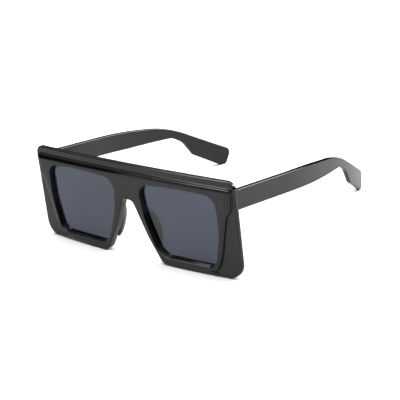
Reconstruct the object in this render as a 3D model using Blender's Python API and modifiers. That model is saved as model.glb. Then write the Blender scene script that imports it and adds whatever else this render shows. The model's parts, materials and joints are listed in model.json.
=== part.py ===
"""Square flat-topped sunglasses with a stepped front and folding temples.

The glasses rest as they stand on a table: the bottom of the front and the two
temple tips touch z = 0.  The front faces -Y, the temples run back along +Y and
x = 0 is the plane of symmetry.  Left and right are the wearer's, so left is +X.
The origin is the bottom centre of the whole object's box.
"""
import math

import bmesh
import bpy
from mathutils import Matrix, Vector

mm = 0.001

# Overall sizes
front_width = 150.6 * mm
front_height = 55.6 * mm
overall_depth = 147.4 * mm
front_wrap = 2.0 * mm
front_thickness = 5.0 * mm
flange_step = 2.2 * mm

# Clearances shared by all the pieces
seat_gap = 0.3 * mm
running_gap = 0.1 * mm
overrun = 1.0 * mm
merge_distance = 0.002 * mm

# Outer outline of the front
brow_corner_radius = 5.0 * mm
foot_corner_radius = 8.5 * mm
foot_corner_rise = 0.7 * mm
foot_flat_margin = 25.0 * mm
foot_blend_radius = 60.0 * mm
nasal_foot_x = 21.6 * mm
nasal_foot_radius = 6.5 * mm
arch_height = 35.1 * mm
arch_top_x = 3.6 * mm
arch_top_radius = 4.0 * mm
arch_knee_x = 12.4 * mm
arch_knee_z = 15.3 * mm
arch_knee_radius = 40.0 * mm

# Mouth of a lens opening on the raised face: the widths of the rim round it
bridge_half_width = 8.8 * mm
side_rim_width = 11.4 * mm
foot_rim_width = 5.0 * mm
brow_rim_width = 8.4 * mm
mouth_top_radius = 7.5 * mm
mouth_outer_foot_radius = 5.0 * mm
mouth_inner_foot_radius = 8.5 * mm
mouth_side_radius = 40.0 * mm
mouth_brow_radius = 90.0 * mm
mouth_draft = 0.3 * mm

# Corners of the mouth as shares of its width and height, clockwise from the nose
mouth_nose_top_share = (0.000, 0.970)
mouth_brow_share = (0.530, 1.000)
mouth_outer_top_share = (0.995, 0.985)
mouth_outer_knee_share = (1.000, 0.474)
mouth_outer_foot_share = (0.922, 0.007)
mouth_nose_foot_share = (0.202, 0.000)
mouth_nose_knee_share = (0.044, 0.521)

# Edge of the raised face: insets from the side of the front and drops from its top
raised_side_inset = 2.2 * mm
raised_top_drop = 4.3 * mm
raised_corner_radius = 1.6 * mm
notch_inset = 2.7 * mm
notch_drop = 15.8 * mm
notch_radius = 1.2 * mm
notch_foot_inset = 5.9 * mm
notch_foot_drop = 20.2 * mm
notch_foot_radius = 2.5 * mm
crease_start_inset = 10.4 * mm
crease_start_z = 15.5 * mm
crease_turn_inset = 12.5 * mm
crease_turn_z = 6.6 * mm
face_line_inset = 1.45 * mm

# Edge roundings of the front
mouth_edge_radius = 0.4 * mm
step_edge_radius = 0.35 * mm
step_draft = 0.15 * mm
outer_edge_radius = 0.7 * mm
back_edge_radius = 0.5 * mm
back_lip_radius = 0.3 * mm
round_share = 0.3

# Lens groove
groove_front = 2.4 * mm
groove_back = 4.2 * mm
groove_depth = 0.9 * mm
groove_gap = 0.2 * mm
lens_edge_radius = 0.1 * mm
lens_slices = 9

# Temples: drops from the top edge at the hinge, heights of the blade, and the tip
temple_inset = 0.9 * mm
temple_thickness = 3.0 * mm
temple_edge_radius = 0.6 * mm
temple_top_drop = 5.1 * mm
temple_height = 11.4 * mm
temple_bend_radius = 235.0 * mm
temple_slices = 20
blade_drop = 7.7 * mm
blade_radius = 250.0 * mm
ear_bend_drop = 14.5 * mm
ear_bend_radius = 75.0 * mm
waist_height = 11.9 * mm
waist_radius = 60.0 * mm
crotch_height = 8.2 * mm
crotch_radius = 13.0 * mm
hook_radius = 15.0 * mm
paddle_heel_radius = 1.8 * mm
tip_overreach = 1.3 * mm
tip_top_z = 9.2 * mm
tip_top_radius = 4.0 * mm
tip_heel_setback = 3.7 * mm
tip_heel_dip = 1.85 * mm
tip_heel_radius = 3.5 * mm

# Places along a temple as shares of its length, and heights as shares of the ear bend's
bend_start_share = 0.304
blade_share = 0.449
waist_share = 0.478
ear_bend_share = 0.701
crotch_share = 0.724
hook_share = 0.780
hook_rise_share = 0.62
paddle_heel_share = 0.824
paddle_heel_rise_share = 0.335

# Hinges: five knuckles, three on the front leaf and two on the temple leaf
hinge_drop = 5.9 * mm
knuckle_count = 5
knuckle_height = 1.2 * mm
knuckle_radius = 1.3 * mm
leaf_thickness = 1.0 * mm
leaf_sink = 0.5 * mm
front_leaf_length = 3.6 * mm
temple_leaf_length = 9.0 * mm
tab_inset = 0.05 * mm
tab_overlap = 0.5 * mm
hinge_screw_radius = 0.6 * mm
hinge_screw_head_radius = 1.1 * mm
hinge_screw_head_height = 0.7 * mm
leaf_screw_radius = 0.5 * mm
leaf_screw_head_radius = 0.9 * mm
leaf_screw_head_height = 0.45 * mm
leaf_screw_length = 2.2 * mm
front_screw_spread = 1.8 * mm
temple_screw_margin = 1.8 * mm

# Core wires
wire_radius = 0.4 * mm
wire_gap = 0.15 * mm
wire_start_rise = 1.3 * mm
wire_start_setback = 1.0 * mm
wire_level_run = 30.0 * mm
wire_end_share = 0.855
wire_points = 26

# Nose pads
pad_x = 12.6 * mm
pad_z = 19.0 * mm
pad_half_thickness = 1.7 * mm
pad_half_height = 11.2 * mm
pad_half_depth = 5.6 * mm
pad_lean = math.radians(17.0)
pad_splay = math.radians(12.0)

# Facets
arc_steps = 5
edge_bevel_steps = 1
wire_bevel_steps = 2
barrel_sides = 24
screw_sides = 16
hole_sides = 12

# Places of the stations along each leg of the front, as shares of the leg
brow_leg_shares = (0.0, 0.12, 0.28, 0.45, 0.62, 0.78, 0.92)
corner_leg_shares = (0.0, 0.25, 0.5, 0.75)
side_leg_shares = (0.0, 0.10, 0.18, 0.22, 0.26, 0.31, 0.36, 0.41, 0.50, 0.62, 0.75, 0.88)
crease_leg_shares = (0.0, 0.2, 0.4, 0.6, 0.8)
foot_leg_shares = (0.0, 0.15, 0.35, 0.65, 0.85)
nose_leg_shares = (0.0, 0.06, 0.12, 0.18, 0.25, 0.33, 0.43, 0.55, 0.67, 0.77, 0.86, 0.93, 1.0)
bridge_leg_shares = (0.1, 0.3, 0.5, 0.7, 0.9)

# Where the same stations meet the mouth on the legs that run past a corner of the outline
side_lip_shares = (0.0, 0.05, 0.08, 0.10, 0.12, 0.15, 0.20, 0.26, 0.38, 0.54, 0.70, 0.86)
nose_lip_shares = (0.0, 0.04, 0.08, 0.13, 0.19, 0.29, 0.40, 0.53, 0.67, 0.78, 0.87, 0.94, 1.0)

# Crease: where it ends between mouth and rim, and where along its leg the step starts to fade
crease_end_share = 0.38
crease_fade_share = 0.35

# Step edge: offset in step radii, height in steps and share of the draft
faded_step_share = 0.3
step_profile_shares = (
    (-1.0, 0.0, 0.0),
    (-0.3, 0.1, 0.0),
    (0.0, 0.3, 0.0),
    (0.0, 0.7, 1.0),
    (0.3, 0.9, 1.0),
    (1.0, 1.0, 1.0),
)

half_width = front_width / 2
mouth_inner_x = bridge_half_width
mouth_bottom_z = foot_rim_width
mouth_width = half_width - side_rim_width - mouth_inner_x
mouth_height = front_height - brow_rim_width - mouth_bottom_z
raised_top_z = front_height - raised_top_drop
temple_outer_x = half_width - temple_inset
temple_inner_x = temple_outer_x - temple_thickness
temple_top_z = front_height - temple_top_drop
temple_bottom_z = temple_top_z - temple_height
blade_z = temple_top_z - blade_drop
ear_bend_z = temple_top_z - ear_bend_drop
hinge_height = knuckle_count * knuckle_height + (knuckle_count - 1) * running_gap
hinge_centre_z = temple_top_z - hinge_drop
hinge_bottom_z = hinge_centre_z - hinge_height / 2
hinge_top_z = hinge_centre_z + hinge_height / 2
knuckle_standoff = knuckle_radius - leaf_sink
pivot_x = temple_inner_x - knuckle_standoff
pocket_depth = leaf_sink + seat_gap


def wrap_at(x):
    """How far the front has curved back at a distance x from the middle."""
    return front_wrap * (x / half_width) ** 2


hinge_seat_y = front_thickness + wrap_at(pivot_x)
pivot_y = hinge_seat_y + knuckle_standoff
temple_front_y = front_thickness + wrap_at(temple_outer_x) + seat_gap


def along_temple(share):
    """Place along Y of a share of a temple's length."""
    return temple_front_y + share * (overall_depth - temple_front_y)


def bend_at(y):
    """How far a temple has curved inwards at y, on a large circle."""
    run = max(0.0, y - along_temple(bend_start_share))
    return run * run / (2 * temple_bend_radius)


# Scene

for old in list(bpy.data.objects):
    bpy.data.objects.remove(old, do_unlink=True)

parts = bpy.data.collections.new("square_sunglasses")
cutters = bpy.data.collections.new("cutters")
bpy.context.scene.collection.children.link(parts)
bpy.context.scene.collection.children.link(cutters)


def make_material(name, colour, roughness, metallic):
    material = bpy.data.materials.new(name)
    material.use_nodes = True
    shader = material.node_tree.nodes["Principled BSDF"]
    shader.inputs["Base Color"].default_value = (*colour, 1.0)
    shader.inputs["Roughness"].default_value = roughness
    shader.inputs["Metallic"].default_value = metallic
    return material


front_plastic = make_material("front_black_plastic", (0.012, 0.012, 0.013), 0.12, 0.0)
temple_plastic = make_material("temple_black_plastic", (0.015, 0.015, 0.016), 0.18, 0.0)
pad_plastic = make_material("pad_black_plastic", (0.02, 0.02, 0.021), 0.2, 0.0)
lens_tint = make_material("smoke_lens", (0.045, 0.055, 0.08), 0.05, 0.0)
leaf_steel = make_material("hinge_steel", (0.55, 0.55, 0.56), 0.3, 1.0)
screw_steel = make_material("screw_steel", (0.62, 0.62, 0.63), 0.25, 1.0)
wire_steel = make_material("core_wire_steel", (0.6, 0.58, 0.55), 0.35, 1.0)


def make_empty(name, location, parent):
    empty = bpy.data.objects.new(name, None)
    parts.objects.link(empty)
    empty.parent = parent
    empty.location = location
    return empty


assembly = make_empty("sunglasses_origin", (0.0, -overall_depth / 2, 0.0), None)
pivots = {
    side_name: make_empty(f"{side_name}_hinge_axis", (side * pivot_x, pivot_y, 0.0), assembly)
    for side_name, side in (("left", 1), ("right", -1))
}


def add_piece(name, mesh, material, parent):
    """A visible piece whose mesh was drawn in the front's own coordinates."""
    mesh.materials.clear()
    mesh.materials.append(material)
    piece = bpy.data.objects.new(name, mesh)
    parts.objects.link(piece)
    if parent is not assembly:
        mesh.transform(Matrix.Translation(-parent.location))
    piece.parent = parent
    mesh.shade_smooth()
    mesh.set_sharp_from_angle(angle=math.radians(35.0))
    return piece


def add_cutter(name, mesh, parent):
    cutter = bpy.data.objects.new(name, mesh)
    cutters.objects.link(cutter)
    if parent is not assembly:
        mesh.transform(Matrix.Translation(-parent.location))
    cutter.parent = parent
    cutter.hide_render = True
    cutter.display_type = "WIRE"
    return cutter


def combine(piece, other, operation):
    modifier = piece.modifiers.new(f"{operation.lower()}_{other.name}", "BOOLEAN")
    modifier.operation = operation
    modifier.solver = "EXACT"
    modifier.object = other


# Outlines

def fillet(before, corner, after, radius):
    """Points of the arc that rounds a corner between two straight lines."""
    corner = Vector(corner)
    back = (Vector(before) - corner).normalized()
    ahead = (Vector(after) - corner).normalized()
    half_angle = back.angle(ahead) / 2
    if radius == 0 or half_angle > math.radians(89.9):
        return [corner]
    reach = radius / math.tan(half_angle)
    centre = corner + (back + ahead).normalized() * radius / math.sin(half_angle)
    start = corner + back * reach - centre
    end = corner + ahead * reach - centre
    sweep = start.angle_signed(end)
    turns = [Matrix.Rotation(-sweep * step / arc_steps, 2) for step in range(arc_steps + 1)]
    return [centre + turn @ start for turn in turns]


def rounded_outline(corners):
    """A closed outline from corners given as (across, up, radius)."""
    points = []
    for index, (across, up, radius) in enumerate(corners):
        before = corners[index - 1][:2]
        after = corners[(index + 1) % len(corners)][:2]
        points.extend(fillet(before, (across, up), after, radius))
    return points


def split_legs(start, corners, end):
    """Legs of an open path: each corner marked as its own leg is one, the rest are the runs."""
    path = [(*start, 0.0, False), *corners, (*end, 0.0, False)]
    legs = [[Vector(start)]]
    for before, corner, after in zip(path, path[1:], path[2:]):
        arc = fillet(before[:2], corner[:2], after[:2], corner[2])
        if corner[3]:
            legs[-1].append(arc[0])
            legs.append(arc)
            legs.append([arc[-1]])
        else:
            legs[-1].extend(arc)
    legs[-1].append(Vector(end))
    return legs


def point_along(line, share):
    """The point at a share of a line's length."""
    lengths = [(b - a).length for a, b in zip(line, line[1:])]
    left = share * sum(lengths)
    for (start, end), length in zip(zip(line, line[1:]), lengths):
        if left <= length and length > 0:
            return start.lerp(end, left / length)
        left -= length
    return line[-1].copy()


def left_normals(points, first=None, last=None):
    """Unit normals on the left of an open path; the ends can be given."""
    normals = []
    for index in range(len(points)):
        heading = points[min(index + 1, len(points) - 1)] - points[max(index - 1, 0)]
        normals.append(Vector((-heading.y, heading.x)).normalized())
    normals[0] = first or normals[0]
    normals[-1] = last or normals[-1]
    return normals


def smooth(share):
    share = min(max(share, 0.0), 1.0)
    return share * share * (3 - 2 * share)


# Mouth corner in world places

def mouth_corner(share):
    return (mouth_inner_x + share[0] * mouth_width, mouth_bottom_z + share[1] * mouth_height)


def mouth_corners():
    """Corners of a lens opening, clockwise from the nose seen from the front."""
    return [
        (*mouth_corner(mouth_nose_top_share), mouth_top_radius, True),
        (*mouth_corner(mouth_brow_share), mouth_brow_radius, False),
        (*mouth_corner(mouth_outer_top_share), mouth_top_radius, True),
        (*mouth_corner(mouth_outer_knee_share), mouth_side_radius, False),
        (*mouth_corner(mouth_outer_foot_share), mouth_outer_foot_radius, True),
        (*mouth_corner(mouth_nose_foot_share), mouth_inner_foot_radius, True),
        (*mouth_corner(mouth_nose_knee_share), mouth_side_radius, False),
    ]


# Front

leg_shares = {
    "brow": (brow_leg_shares, brow_leg_shares),
    "brow_corner": (corner_leg_shares, corner_leg_shares),
    "side": (side_leg_shares, side_lip_shares),
    "crease": (crease_leg_shares, crease_leg_shares),
    "foot": (foot_leg_shares, foot_leg_shares),
    "nose": (nose_leg_shares, nose_lip_shares),
}


def named_legs(legs):
    """Name the legs in order; the nose leg is the last corner and the run after it."""
    nose = legs[-2] + legs[-1][1:]
    return dict(zip(leg_shares, [*legs[:-2], nose]))


def outer_legs():
    corners = [
        (half_width, front_height, brow_corner_radius, True),
        (half_width, foot_corner_rise, foot_corner_radius, True),
        (half_width - foot_flat_margin, 0.0, foot_blend_radius, False),
        (nasal_foot_x, 0.0, nasal_foot_radius, True),
        (arch_knee_x, arch_knee_z, arch_knee_radius, False),
        (arch_top_x, arch_height, arch_top_radius, False),
    ]
    return named_legs(split_legs((0.0, front_height), corners, (0.0, arch_height)))


def mouth_legs():
    """The legs round the opening, and the corner beside the bridge."""
    corners = mouth_corners()
    nose_top = corners[0]
    arc = fillet(corners[-1][:2], nose_top[:2], corners[1][:2], nose_top[2])
    return named_legs(split_legs(arc[-1], corners[1:], arc[0])), arc


def raised_legs():
    """Top edge, corner and side of the raised face, down to where the crease starts."""
    corners = [
        (half_width - raised_side_inset, raised_top_z, raised_corner_radius, True),
        (half_width - notch_inset, front_height - notch_drop, notch_radius, False),
        (
            half_width - notch_foot_inset,
            front_height - notch_foot_drop,
            notch_foot_radius,
            False,
        ),
    ]
    end = (half_width - crease_start_inset, crease_start_z)
    return dict(zip(leg_shares, split_legs((0.0, raised_top_z), corners, end)))


def crease_point(start, end, share):
    """The crease turns under the opening on a curve pulled towards one turning point."""
    turn = Vector((half_width - crease_turn_inset, crease_turn_z))
    return start.lerp(turn, share).lerp(turn.lerp(end, share), share)


def front_stations():
    """Matching points of mouth, raised edge and rim, with how far step and rim stand back."""
    outer = outer_legs()
    mouth, nose_top_arc = mouth_legs()
    raised = raised_legs()
    crease_end = mouth["foot"][0].lerp(outer["foot"][0], crease_end_share)
    stations = []
    for leg, (rim_shares, lip_shares) in leg_shares.items():
        for share, lip_share in zip(rim_shares, lip_shares):
            rim = point_along(outer[leg], share)
            lip = point_along(mouth[leg], lip_share)
            edge = None
            depth = 0.0
            rim_depth = 0.0
            if leg in raised:
                edge = point_along(raised[leg], share)
                depth = rim_depth = 1.0
            elif leg == "crease":
                edge = crease_point(raised["side"][-1], crease_end, share)
                depth = 1 - smooth((share - crease_fade_share) / (1 - crease_fade_share))
                rim_depth = 1 - smooth(share) / 2
            elif leg == "foot":
                edge = lip.lerp(rim, crease_end_share)
                rim_depth = (1 - smooth(share / rim_shares[-2])) / 2
            settled = smooth(share) if leg == "foot" else float(leg == "nose")
            stations.append(
                (lip, edge or rim, rim, depth * flange_step, rim_depth * flange_step, settled)
            )
    up = Vector((0.0, 1.0))
    rim_normals = left_normals([station[2] for station in stations], up, -up)
    edges = []
    for (lip, edge, rim, _, _, settled), normal in zip(stations, rim_normals):
        band = (rim - lip).dot(normal)
        inset = min(face_line_inset, (band + outer_edge_radius - mouth_edge_radius) / 2)
        edges.append(edge.lerp(rim - normal * inset, settled))
    edge_normals = left_normals(edges, up, -up)
    bridge_lips = [point_along(nose_top_arc, share) for share in bridge_leg_shares]
    lips = [station[0] for station in stations] + bridge_lips
    lip_normals = left_normals([lips[-1], *lips, lips[0]])[1:-1]
    return stations, rim_normals, edges, edge_normals, bridge_lips, lip_normals


def lip_profile(lip, normal):
    """Section of the opening from its back lip, round the groove, to the raised face."""
    wall = -mouth_draft
    profile = (
        (wall + back_lip_radius, front_thickness),
        (wall, front_thickness - back_lip_radius),
        (wall, groove_back),
        (wall + groove_depth, groove_back),
        (wall + groove_depth, groove_front),
        (wall, groove_front),
        (0.0, mouth_edge_radius),
        (mouth_edge_radius * round_share, mouth_edge_radius * round_share),
        (mouth_edge_radius, 0.0),
    )
    return [(lip + normal * offset, depth) for offset, depth in profile]


def step_profile(edge, normal, depth):
    """Section of the step from the raised face down to the flange; it narrows as it fades."""
    width = faded_step_share + (1 - faded_step_share) * depth / flange_step
    section = []
    for offset, height, draft in step_profile_shares:
        reach = (offset * step_edge_radius + draft * step_draft) * width
        section.append((edge + normal * reach, height * depth))
    return section


def rim_profile(rim, normal, rim_depth):
    """Section of the outer edge from the flange round to the back face."""
    profile = (
        (outer_edge_radius, rim_depth),
        (outer_edge_radius * round_share, rim_depth + outer_edge_radius * round_share),
        (0.0, rim_depth + outer_edge_radius),
        (0.0, front_thickness - back_edge_radius),
        (back_edge_radius * round_share, front_thickness - back_edge_radius * round_share),
        (back_edge_radius, front_thickness),
    )
    return [(rim - normal * offset, depth) for offset, depth in profile]


def front_half_mesh():
    """Half of the front: sections carried once round the lens opening, open at x = 0."""
    stations, rim_normals, edges, edge_normals, bridge_lips, lip_normals = front_stations()
    sections = []
    for index, (lip, _, rim, depth, rim_depth, _) in enumerate(stations):
        section = lip_profile(lip, lip_normals[index])
        section += step_profile(edges[index], edge_normals[index], depth)
        section += rim_profile(rim, rim_normals[index], rim_depth)
        sections.append(section)
    face_start = len(lip_profile(bridge_lips[0], lip_normals[0]))
    face_points = len(sections[0]) - face_start
    low = sections[-1][face_start][0]
    high = sections[0][face_start][0]
    for share, lip, normal in zip(bridge_leg_shares, bridge_lips, lip_normals[len(stations):]):
        middle = low.lerp(high, smooth(share))
        section = lip_profile(lip, normal)
        section += [(middle, 0.0)] * (face_points - 1) + [(middle, front_thickness)]
        sections.append(section)

    mesh = bmesh.new()
    grid = []
    for section in sections:
        row = []
        for point, depth in section:
            row.append(mesh.verts.new((point.x, depth + wrap_at(point.x), point.y)))
        grid.append(row)
    face_columns = range(face_start, face_start + face_points - 1)
    for index, row in enumerate(grid):
        following = grid[(index + 1) % len(grid)]
        beside_bridge = index >= len(stations) - 1
        for column in range(len(row)):
            if beside_bridge and column in face_columns:
                continue
            after = (column + 1) % len(row)
            mesh.faces.new((row[column], row[after], following[after], following[column]))
    bmesh.ops.remove_doubles(mesh, verts=mesh.verts, dist=merge_distance)
    bmesh.ops.dissolve_degenerate(mesh, edges=mesh.edges, dist=merge_distance)
    bmesh.ops.recalc_face_normals(mesh, faces=mesh.faces)
    return finished(mesh, "front_half")


def box(mesh, low, high):
    """Add a box between two opposite corners to a bmesh."""
    low = Vector(low)
    high = Vector(high)
    size = Matrix.Diagonal((*(abs(length) for length in high - low), 1.0))
    bmesh.ops.create_cube(mesh, size=1.0, matrix=Matrix.Translation((low + high) / 2) @ size)


def cylinder(mesh, start, end, radius, sides, end_radius=None):
    """Add a cylinder or cone between two points to a bmesh."""
    start = Vector(start)
    axis = Vector(end) - start
    turn = axis.to_track_quat("Z", "Y").to_matrix().to_4x4()
    bmesh.ops.create_cone(
        mesh,
        cap_ends=True,
        segments=sides,
        radius1=radius,
        radius2=radius if end_radius is None else end_radius,
        depth=axis.length,
        matrix=Matrix.Translation(start + axis / 2) @ turn,
    )


def finished(mesh, name):
    result = bpy.data.meshes.new(name)
    mesh.to_mesh(result)
    mesh.free()
    return result


# Hinge places

def knuckle_span(index):
    bottom = hinge_bottom_z + index * (knuckle_height + running_gap)
    return bottom, bottom + knuckle_height


def front_screw_places(side):
    """Tops of the screws that hold a front leaf, upper and lower, and their direction."""
    x = side * (pivot_x - knuckle_radius - seat_gap - front_leaf_length / 2)
    y = hinge_seat_y - leaf_sink + leaf_thickness
    places = {
        "upper": (x, y, hinge_centre_z + front_screw_spread),
        "lower": (x, y, hinge_centre_z - front_screw_spread),
    }
    return places, Vector((0.0, -1.0, 0.0))


def temple_screw_places(side):
    """Tops of the screws that hold a temple leaf, front and rear, and their direction."""
    x = side * (temple_inner_x + leaf_sink - leaf_thickness)
    first = pivot_y + knuckle_radius + seat_gap + temple_screw_margin
    last = pivot_y + knuckle_radius + seat_gap + temple_leaf_length - temple_screw_margin
    places = {"front": (x, first, hinge_centre_z), "rear": (x, last, hinge_centre_z)}
    return places, Vector((float(side), 0.0, 0.0))


def leaf_screw_holes(name, places, direction, parent):
    """Holes for the shanks, with countersinks, through a leaf and into the plastic."""
    mesh = bmesh.new()
    for place in places.values():
        top = Vector(place) - direction * overrun
        bottom = Vector(place) + direction * (leaf_screw_length + seat_gap)
        cylinder(mesh, top, bottom, leaf_screw_radius + running_gap, hole_sides)
    return add_cutter(name, finished(mesh, name), parent)


def countersinks(name, places, direction, parent):
    """Cones that seat the heads; they open outwards past the leaf's face."""
    mesh = bmesh.new()
    slope = (leaf_screw_head_radius - leaf_screw_radius) / leaf_screw_head_height
    for place in places.values():
        top = Vector(place) - direction * seat_gap
        bottom = Vector(place) + direction * (leaf_screw_head_height + running_gap)
        wide = leaf_screw_head_radius + running_gap + slope * seat_gap
        narrow = leaf_screw_radius + running_gap
        cylinder(mesh, top, bottom, wide, screw_sides, narrow)
    return add_cutter(name, finished(mesh, name), parent)


def pivot_relief(name, side, parent):
    """Room for the barrel and the hinge screw's head in what they turn against."""
    mesh = bmesh.new()
    bottom = hinge_bottom_z - seat_gap
    top = hinge_top_z + running_gap + hinge_screw_head_height + seat_gap
    place = (side * pivot_x, pivot_y)
    cylinder(mesh, (*place, bottom), (*place, top), knuckle_radius + seat_gap, barrel_sides)
    return add_cutter(name, finished(mesh, name), parent)


def front_pocket(name, side):
    mesh = bmesh.new()
    inner = pivot_x - knuckle_radius - seat_gap - front_leaf_length - seat_gap
    low = (side * inner, hinge_seat_y - pocket_depth, hinge_bottom_z - seat_gap)
    high = (side * pivot_x, hinge_seat_y + overrun, hinge_top_z + seat_gap)
    box(mesh, low, high)
    return add_cutter(name, finished(mesh, name), assembly)


def temple_pocket(name, side, parent):
    mesh = bmesh.new()
    rear = pivot_y + knuckle_radius + seat_gap + temple_leaf_length + seat_gap
    low = (side * (temple_inner_x - overrun), pivot_y, hinge_bottom_z - seat_gap)
    high = (side * (temple_inner_x + pocket_depth), rear, hinge_top_z + seat_gap)
    box(mesh, low, high)
    return add_cutter(name, finished(mesh, name), parent)


def build_front():
    front = add_piece("front_frame", front_half_mesh(), front_plastic, assembly)
    mirror = front.modifiers.new("other_half", "MIRROR")
    mirror.use_axis = (True, False, False)
    mirror.use_clip = True
    mirror.merge_threshold = merge_distance
    for side_name, side in (("left", 1), ("right", -1)):
        places, direction = front_screw_places(side)
        holes = leaf_screw_holes(f"{side_name}_front_screw_holes", places, direction, assembly)
        combine(front, front_pocket(f"{side_name}_front_pocket", side), "DIFFERENCE")
        combine(front, pivot_relief(f"{side_name}_front_relief", side, assembly), "DIFFERENCE")
        combine(front, holes, "DIFFERENCE")
    return front


# Pieces drawn as curves

def curve_mesh(name, curve, points, closed):
    """A curve's own solid as a welded bmesh; the curve itself is taken away again."""
    spline = curve.splines.new("POLY")
    spline.points.add(len(points) - 1)
    for place, point in zip(spline.points, points):
        place.co = (*point.to_3d(), 1.0)
    spline.use_cyclic_u = closed
    drawing = bpy.data.objects.new(name, curve)
    cutters.objects.link(drawing)
    evaluated = drawing.evaluated_get(bpy.context.evaluated_depsgraph_get())
    loose = bpy.data.meshes.new_from_object(evaluated)
    bpy.data.objects.remove(drawing, do_unlink=True)
    welded = bmesh.new()
    welded.from_mesh(loose)
    bpy.data.meshes.remove(loose)
    bmesh.ops.remove_doubles(welded, verts=welded.verts, dist=merge_distance)
    bmesh.ops.recalc_face_normals(welded, faces=welded.faces)
    return welded


def slab(name, outline, thickness, edge_radius, axes):
    """A flat outline extruded to a thickness with rounded edges, then turned into place."""
    curve = bpy.data.curves.new(name, "CURVE")
    curve.dimensions = "2D"
    curve.fill_mode = "BOTH"
    curve.extrude = thickness / 2 - edge_radius
    curve.bevel_depth = edge_radius
    curve.bevel_resolution = edge_bevel_steps
    curve.offset = -edge_radius
    mesh = curve_mesh(name, curve, outline, True)
    mesh.transform(Matrix(axes).to_4x4())
    return mesh


def tube(name, points, radius):
    """A round wire along points, with filled ends."""
    curve = bpy.data.curves.new(name, "CURVE")
    curve.dimensions = "3D"
    curve.bevel_depth = radius
    curve.bevel_resolution = wire_bevel_steps
    curve.use_fill_caps = True
    return finished(curve_mesh(name, curve, points, False), name)


def bent(mesh, name, direction, low, high, slices, bend):
    """Cut even bands across a slab, move each point by the bend at its place and store it."""
    for index in range(1, slices):
        bmesh.ops.bisect_plane(
            mesh,
            geom=[*mesh.verts, *mesh.edges, *mesh.faces],
            plane_co=Vector(direction) * (low + (high - low) * index / slices),
            plane_no=direction,
            dist=merge_distance,
        )
    for vertex in mesh.verts:
        vertex.co += bend(vertex.co)
    bmesh.ops.triangulate(mesh, faces=mesh.faces)
    bmesh.ops.recalc_face_normals(mesh, faces=mesh.faces)
    return finished(mesh, name)


def grown(outline, distance):
    """A closed clockwise outline moved outwards along its normals."""
    result = []
    for index, point in enumerate(outline):
        heading = outline[(index + 1) % len(outline)] - outline[index - 1]
        result.append(point + Vector((-heading.y, heading.x)).normalized() * distance)
    return result


def build_lens(side_name, side):
    """A lens fills its groove up to the groove gap and follows the wrap of the front."""
    name = f"{side_name}_lens"
    corners = [corner[:3] for corner in mouth_corners()]
    lens_reach = groove_depth - mouth_draft - groove_gap
    outline = grown(rounded_outline(corners), lens_reach)
    outline = [Vector((side * point.x, point.y)) for point in outline]
    thickness = groove_back - groove_front - 2 * groove_gap
    middle = (groove_front + groove_back) / 2
    axes = ((1.0, 0.0, 0.0), (0.0, 0.0, -1.0), (0.0, 1.0, 0.0))
    flat = slab(name, outline, thickness, lens_edge_radius, axes)

    def bend(place):
        return Vector((0.0, middle + wrap_at(place.x), 0.0))

    outward = (float(side), 0.0, 0.0)
    far = mouth_inner_x + mouth_width
    lens = bent(flat, name, outward, mouth_inner_x, far, lens_slices, bend)
    add_piece(name, lens, lens_tint, assembly)


# Temples

def temple_outline():
    """Side view of a temple, back and up; the tip is dressed flat at the floor and the end."""
    corners = [
        (temple_front_y, temple_top_z, 0.0),
        (along_temple(blade_share), blade_z, blade_radius),
        (along_temple(ear_bend_share), ear_bend_z, ear_bend_radius),
        (overall_depth + tip_overreach, tip_top_z, tip_top_radius),
        (overall_depth - tip_heel_setback, -tip_heel_dip, tip_heel_radius),
        (
            along_temple(paddle_heel_share),
            ear_bend_z * paddle_heel_rise_share,
            paddle_heel_radius,
        ),
        (along_temple(hook_share), ear_bend_z * hook_rise_share, hook_radius),
        (along_temple(crotch_share), ear_bend_z - crotch_height, crotch_radius),
        (along_temple(waist_share), blade_z - waist_height, waist_radius),
        (temple_front_y, temple_bottom_z, 0.0),
    ]
    points = rounded_outline(corners)
    return [Vector((min(point.x, overall_depth), max(point.y, 0.0))) for point in points]


def temple_middle_z(y):
    """Height halfway between a temple's top and bottom edges at y."""
    outline = temple_outline()
    heights = []
    for start, end in zip(outline, outline[1:] + outline[:1]):
        if min(start.x, end.x) <= y < max(start.x, end.x):
            share = (y - start.x) / (end.x - start.x)
            heights.append(start.lerp(end, share).y)
    return (max(heights) + min(heights)) / 2


def wire_path(side, start_y, end_y):
    """Core wire: starts low, under the hinge, and rises to the temple's middle line."""
    middle_x = temple_outer_x - temple_thickness / 2
    low_z = temple_bottom_z + wire_start_rise
    points = []
    for index in range(wire_points):
        y = start_y + (end_y - start_y) * index / (wire_points - 1)
        rise = smooth((y - temple_front_y) / wire_level_run)
        middle_z = temple_middle_z(max(y, temple_front_y + wire_level_run))
        z = low_z + (middle_z - low_z) * rise
        points.append(Vector((side * (middle_x - bend_at(y)), y, z)))
    return points


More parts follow.
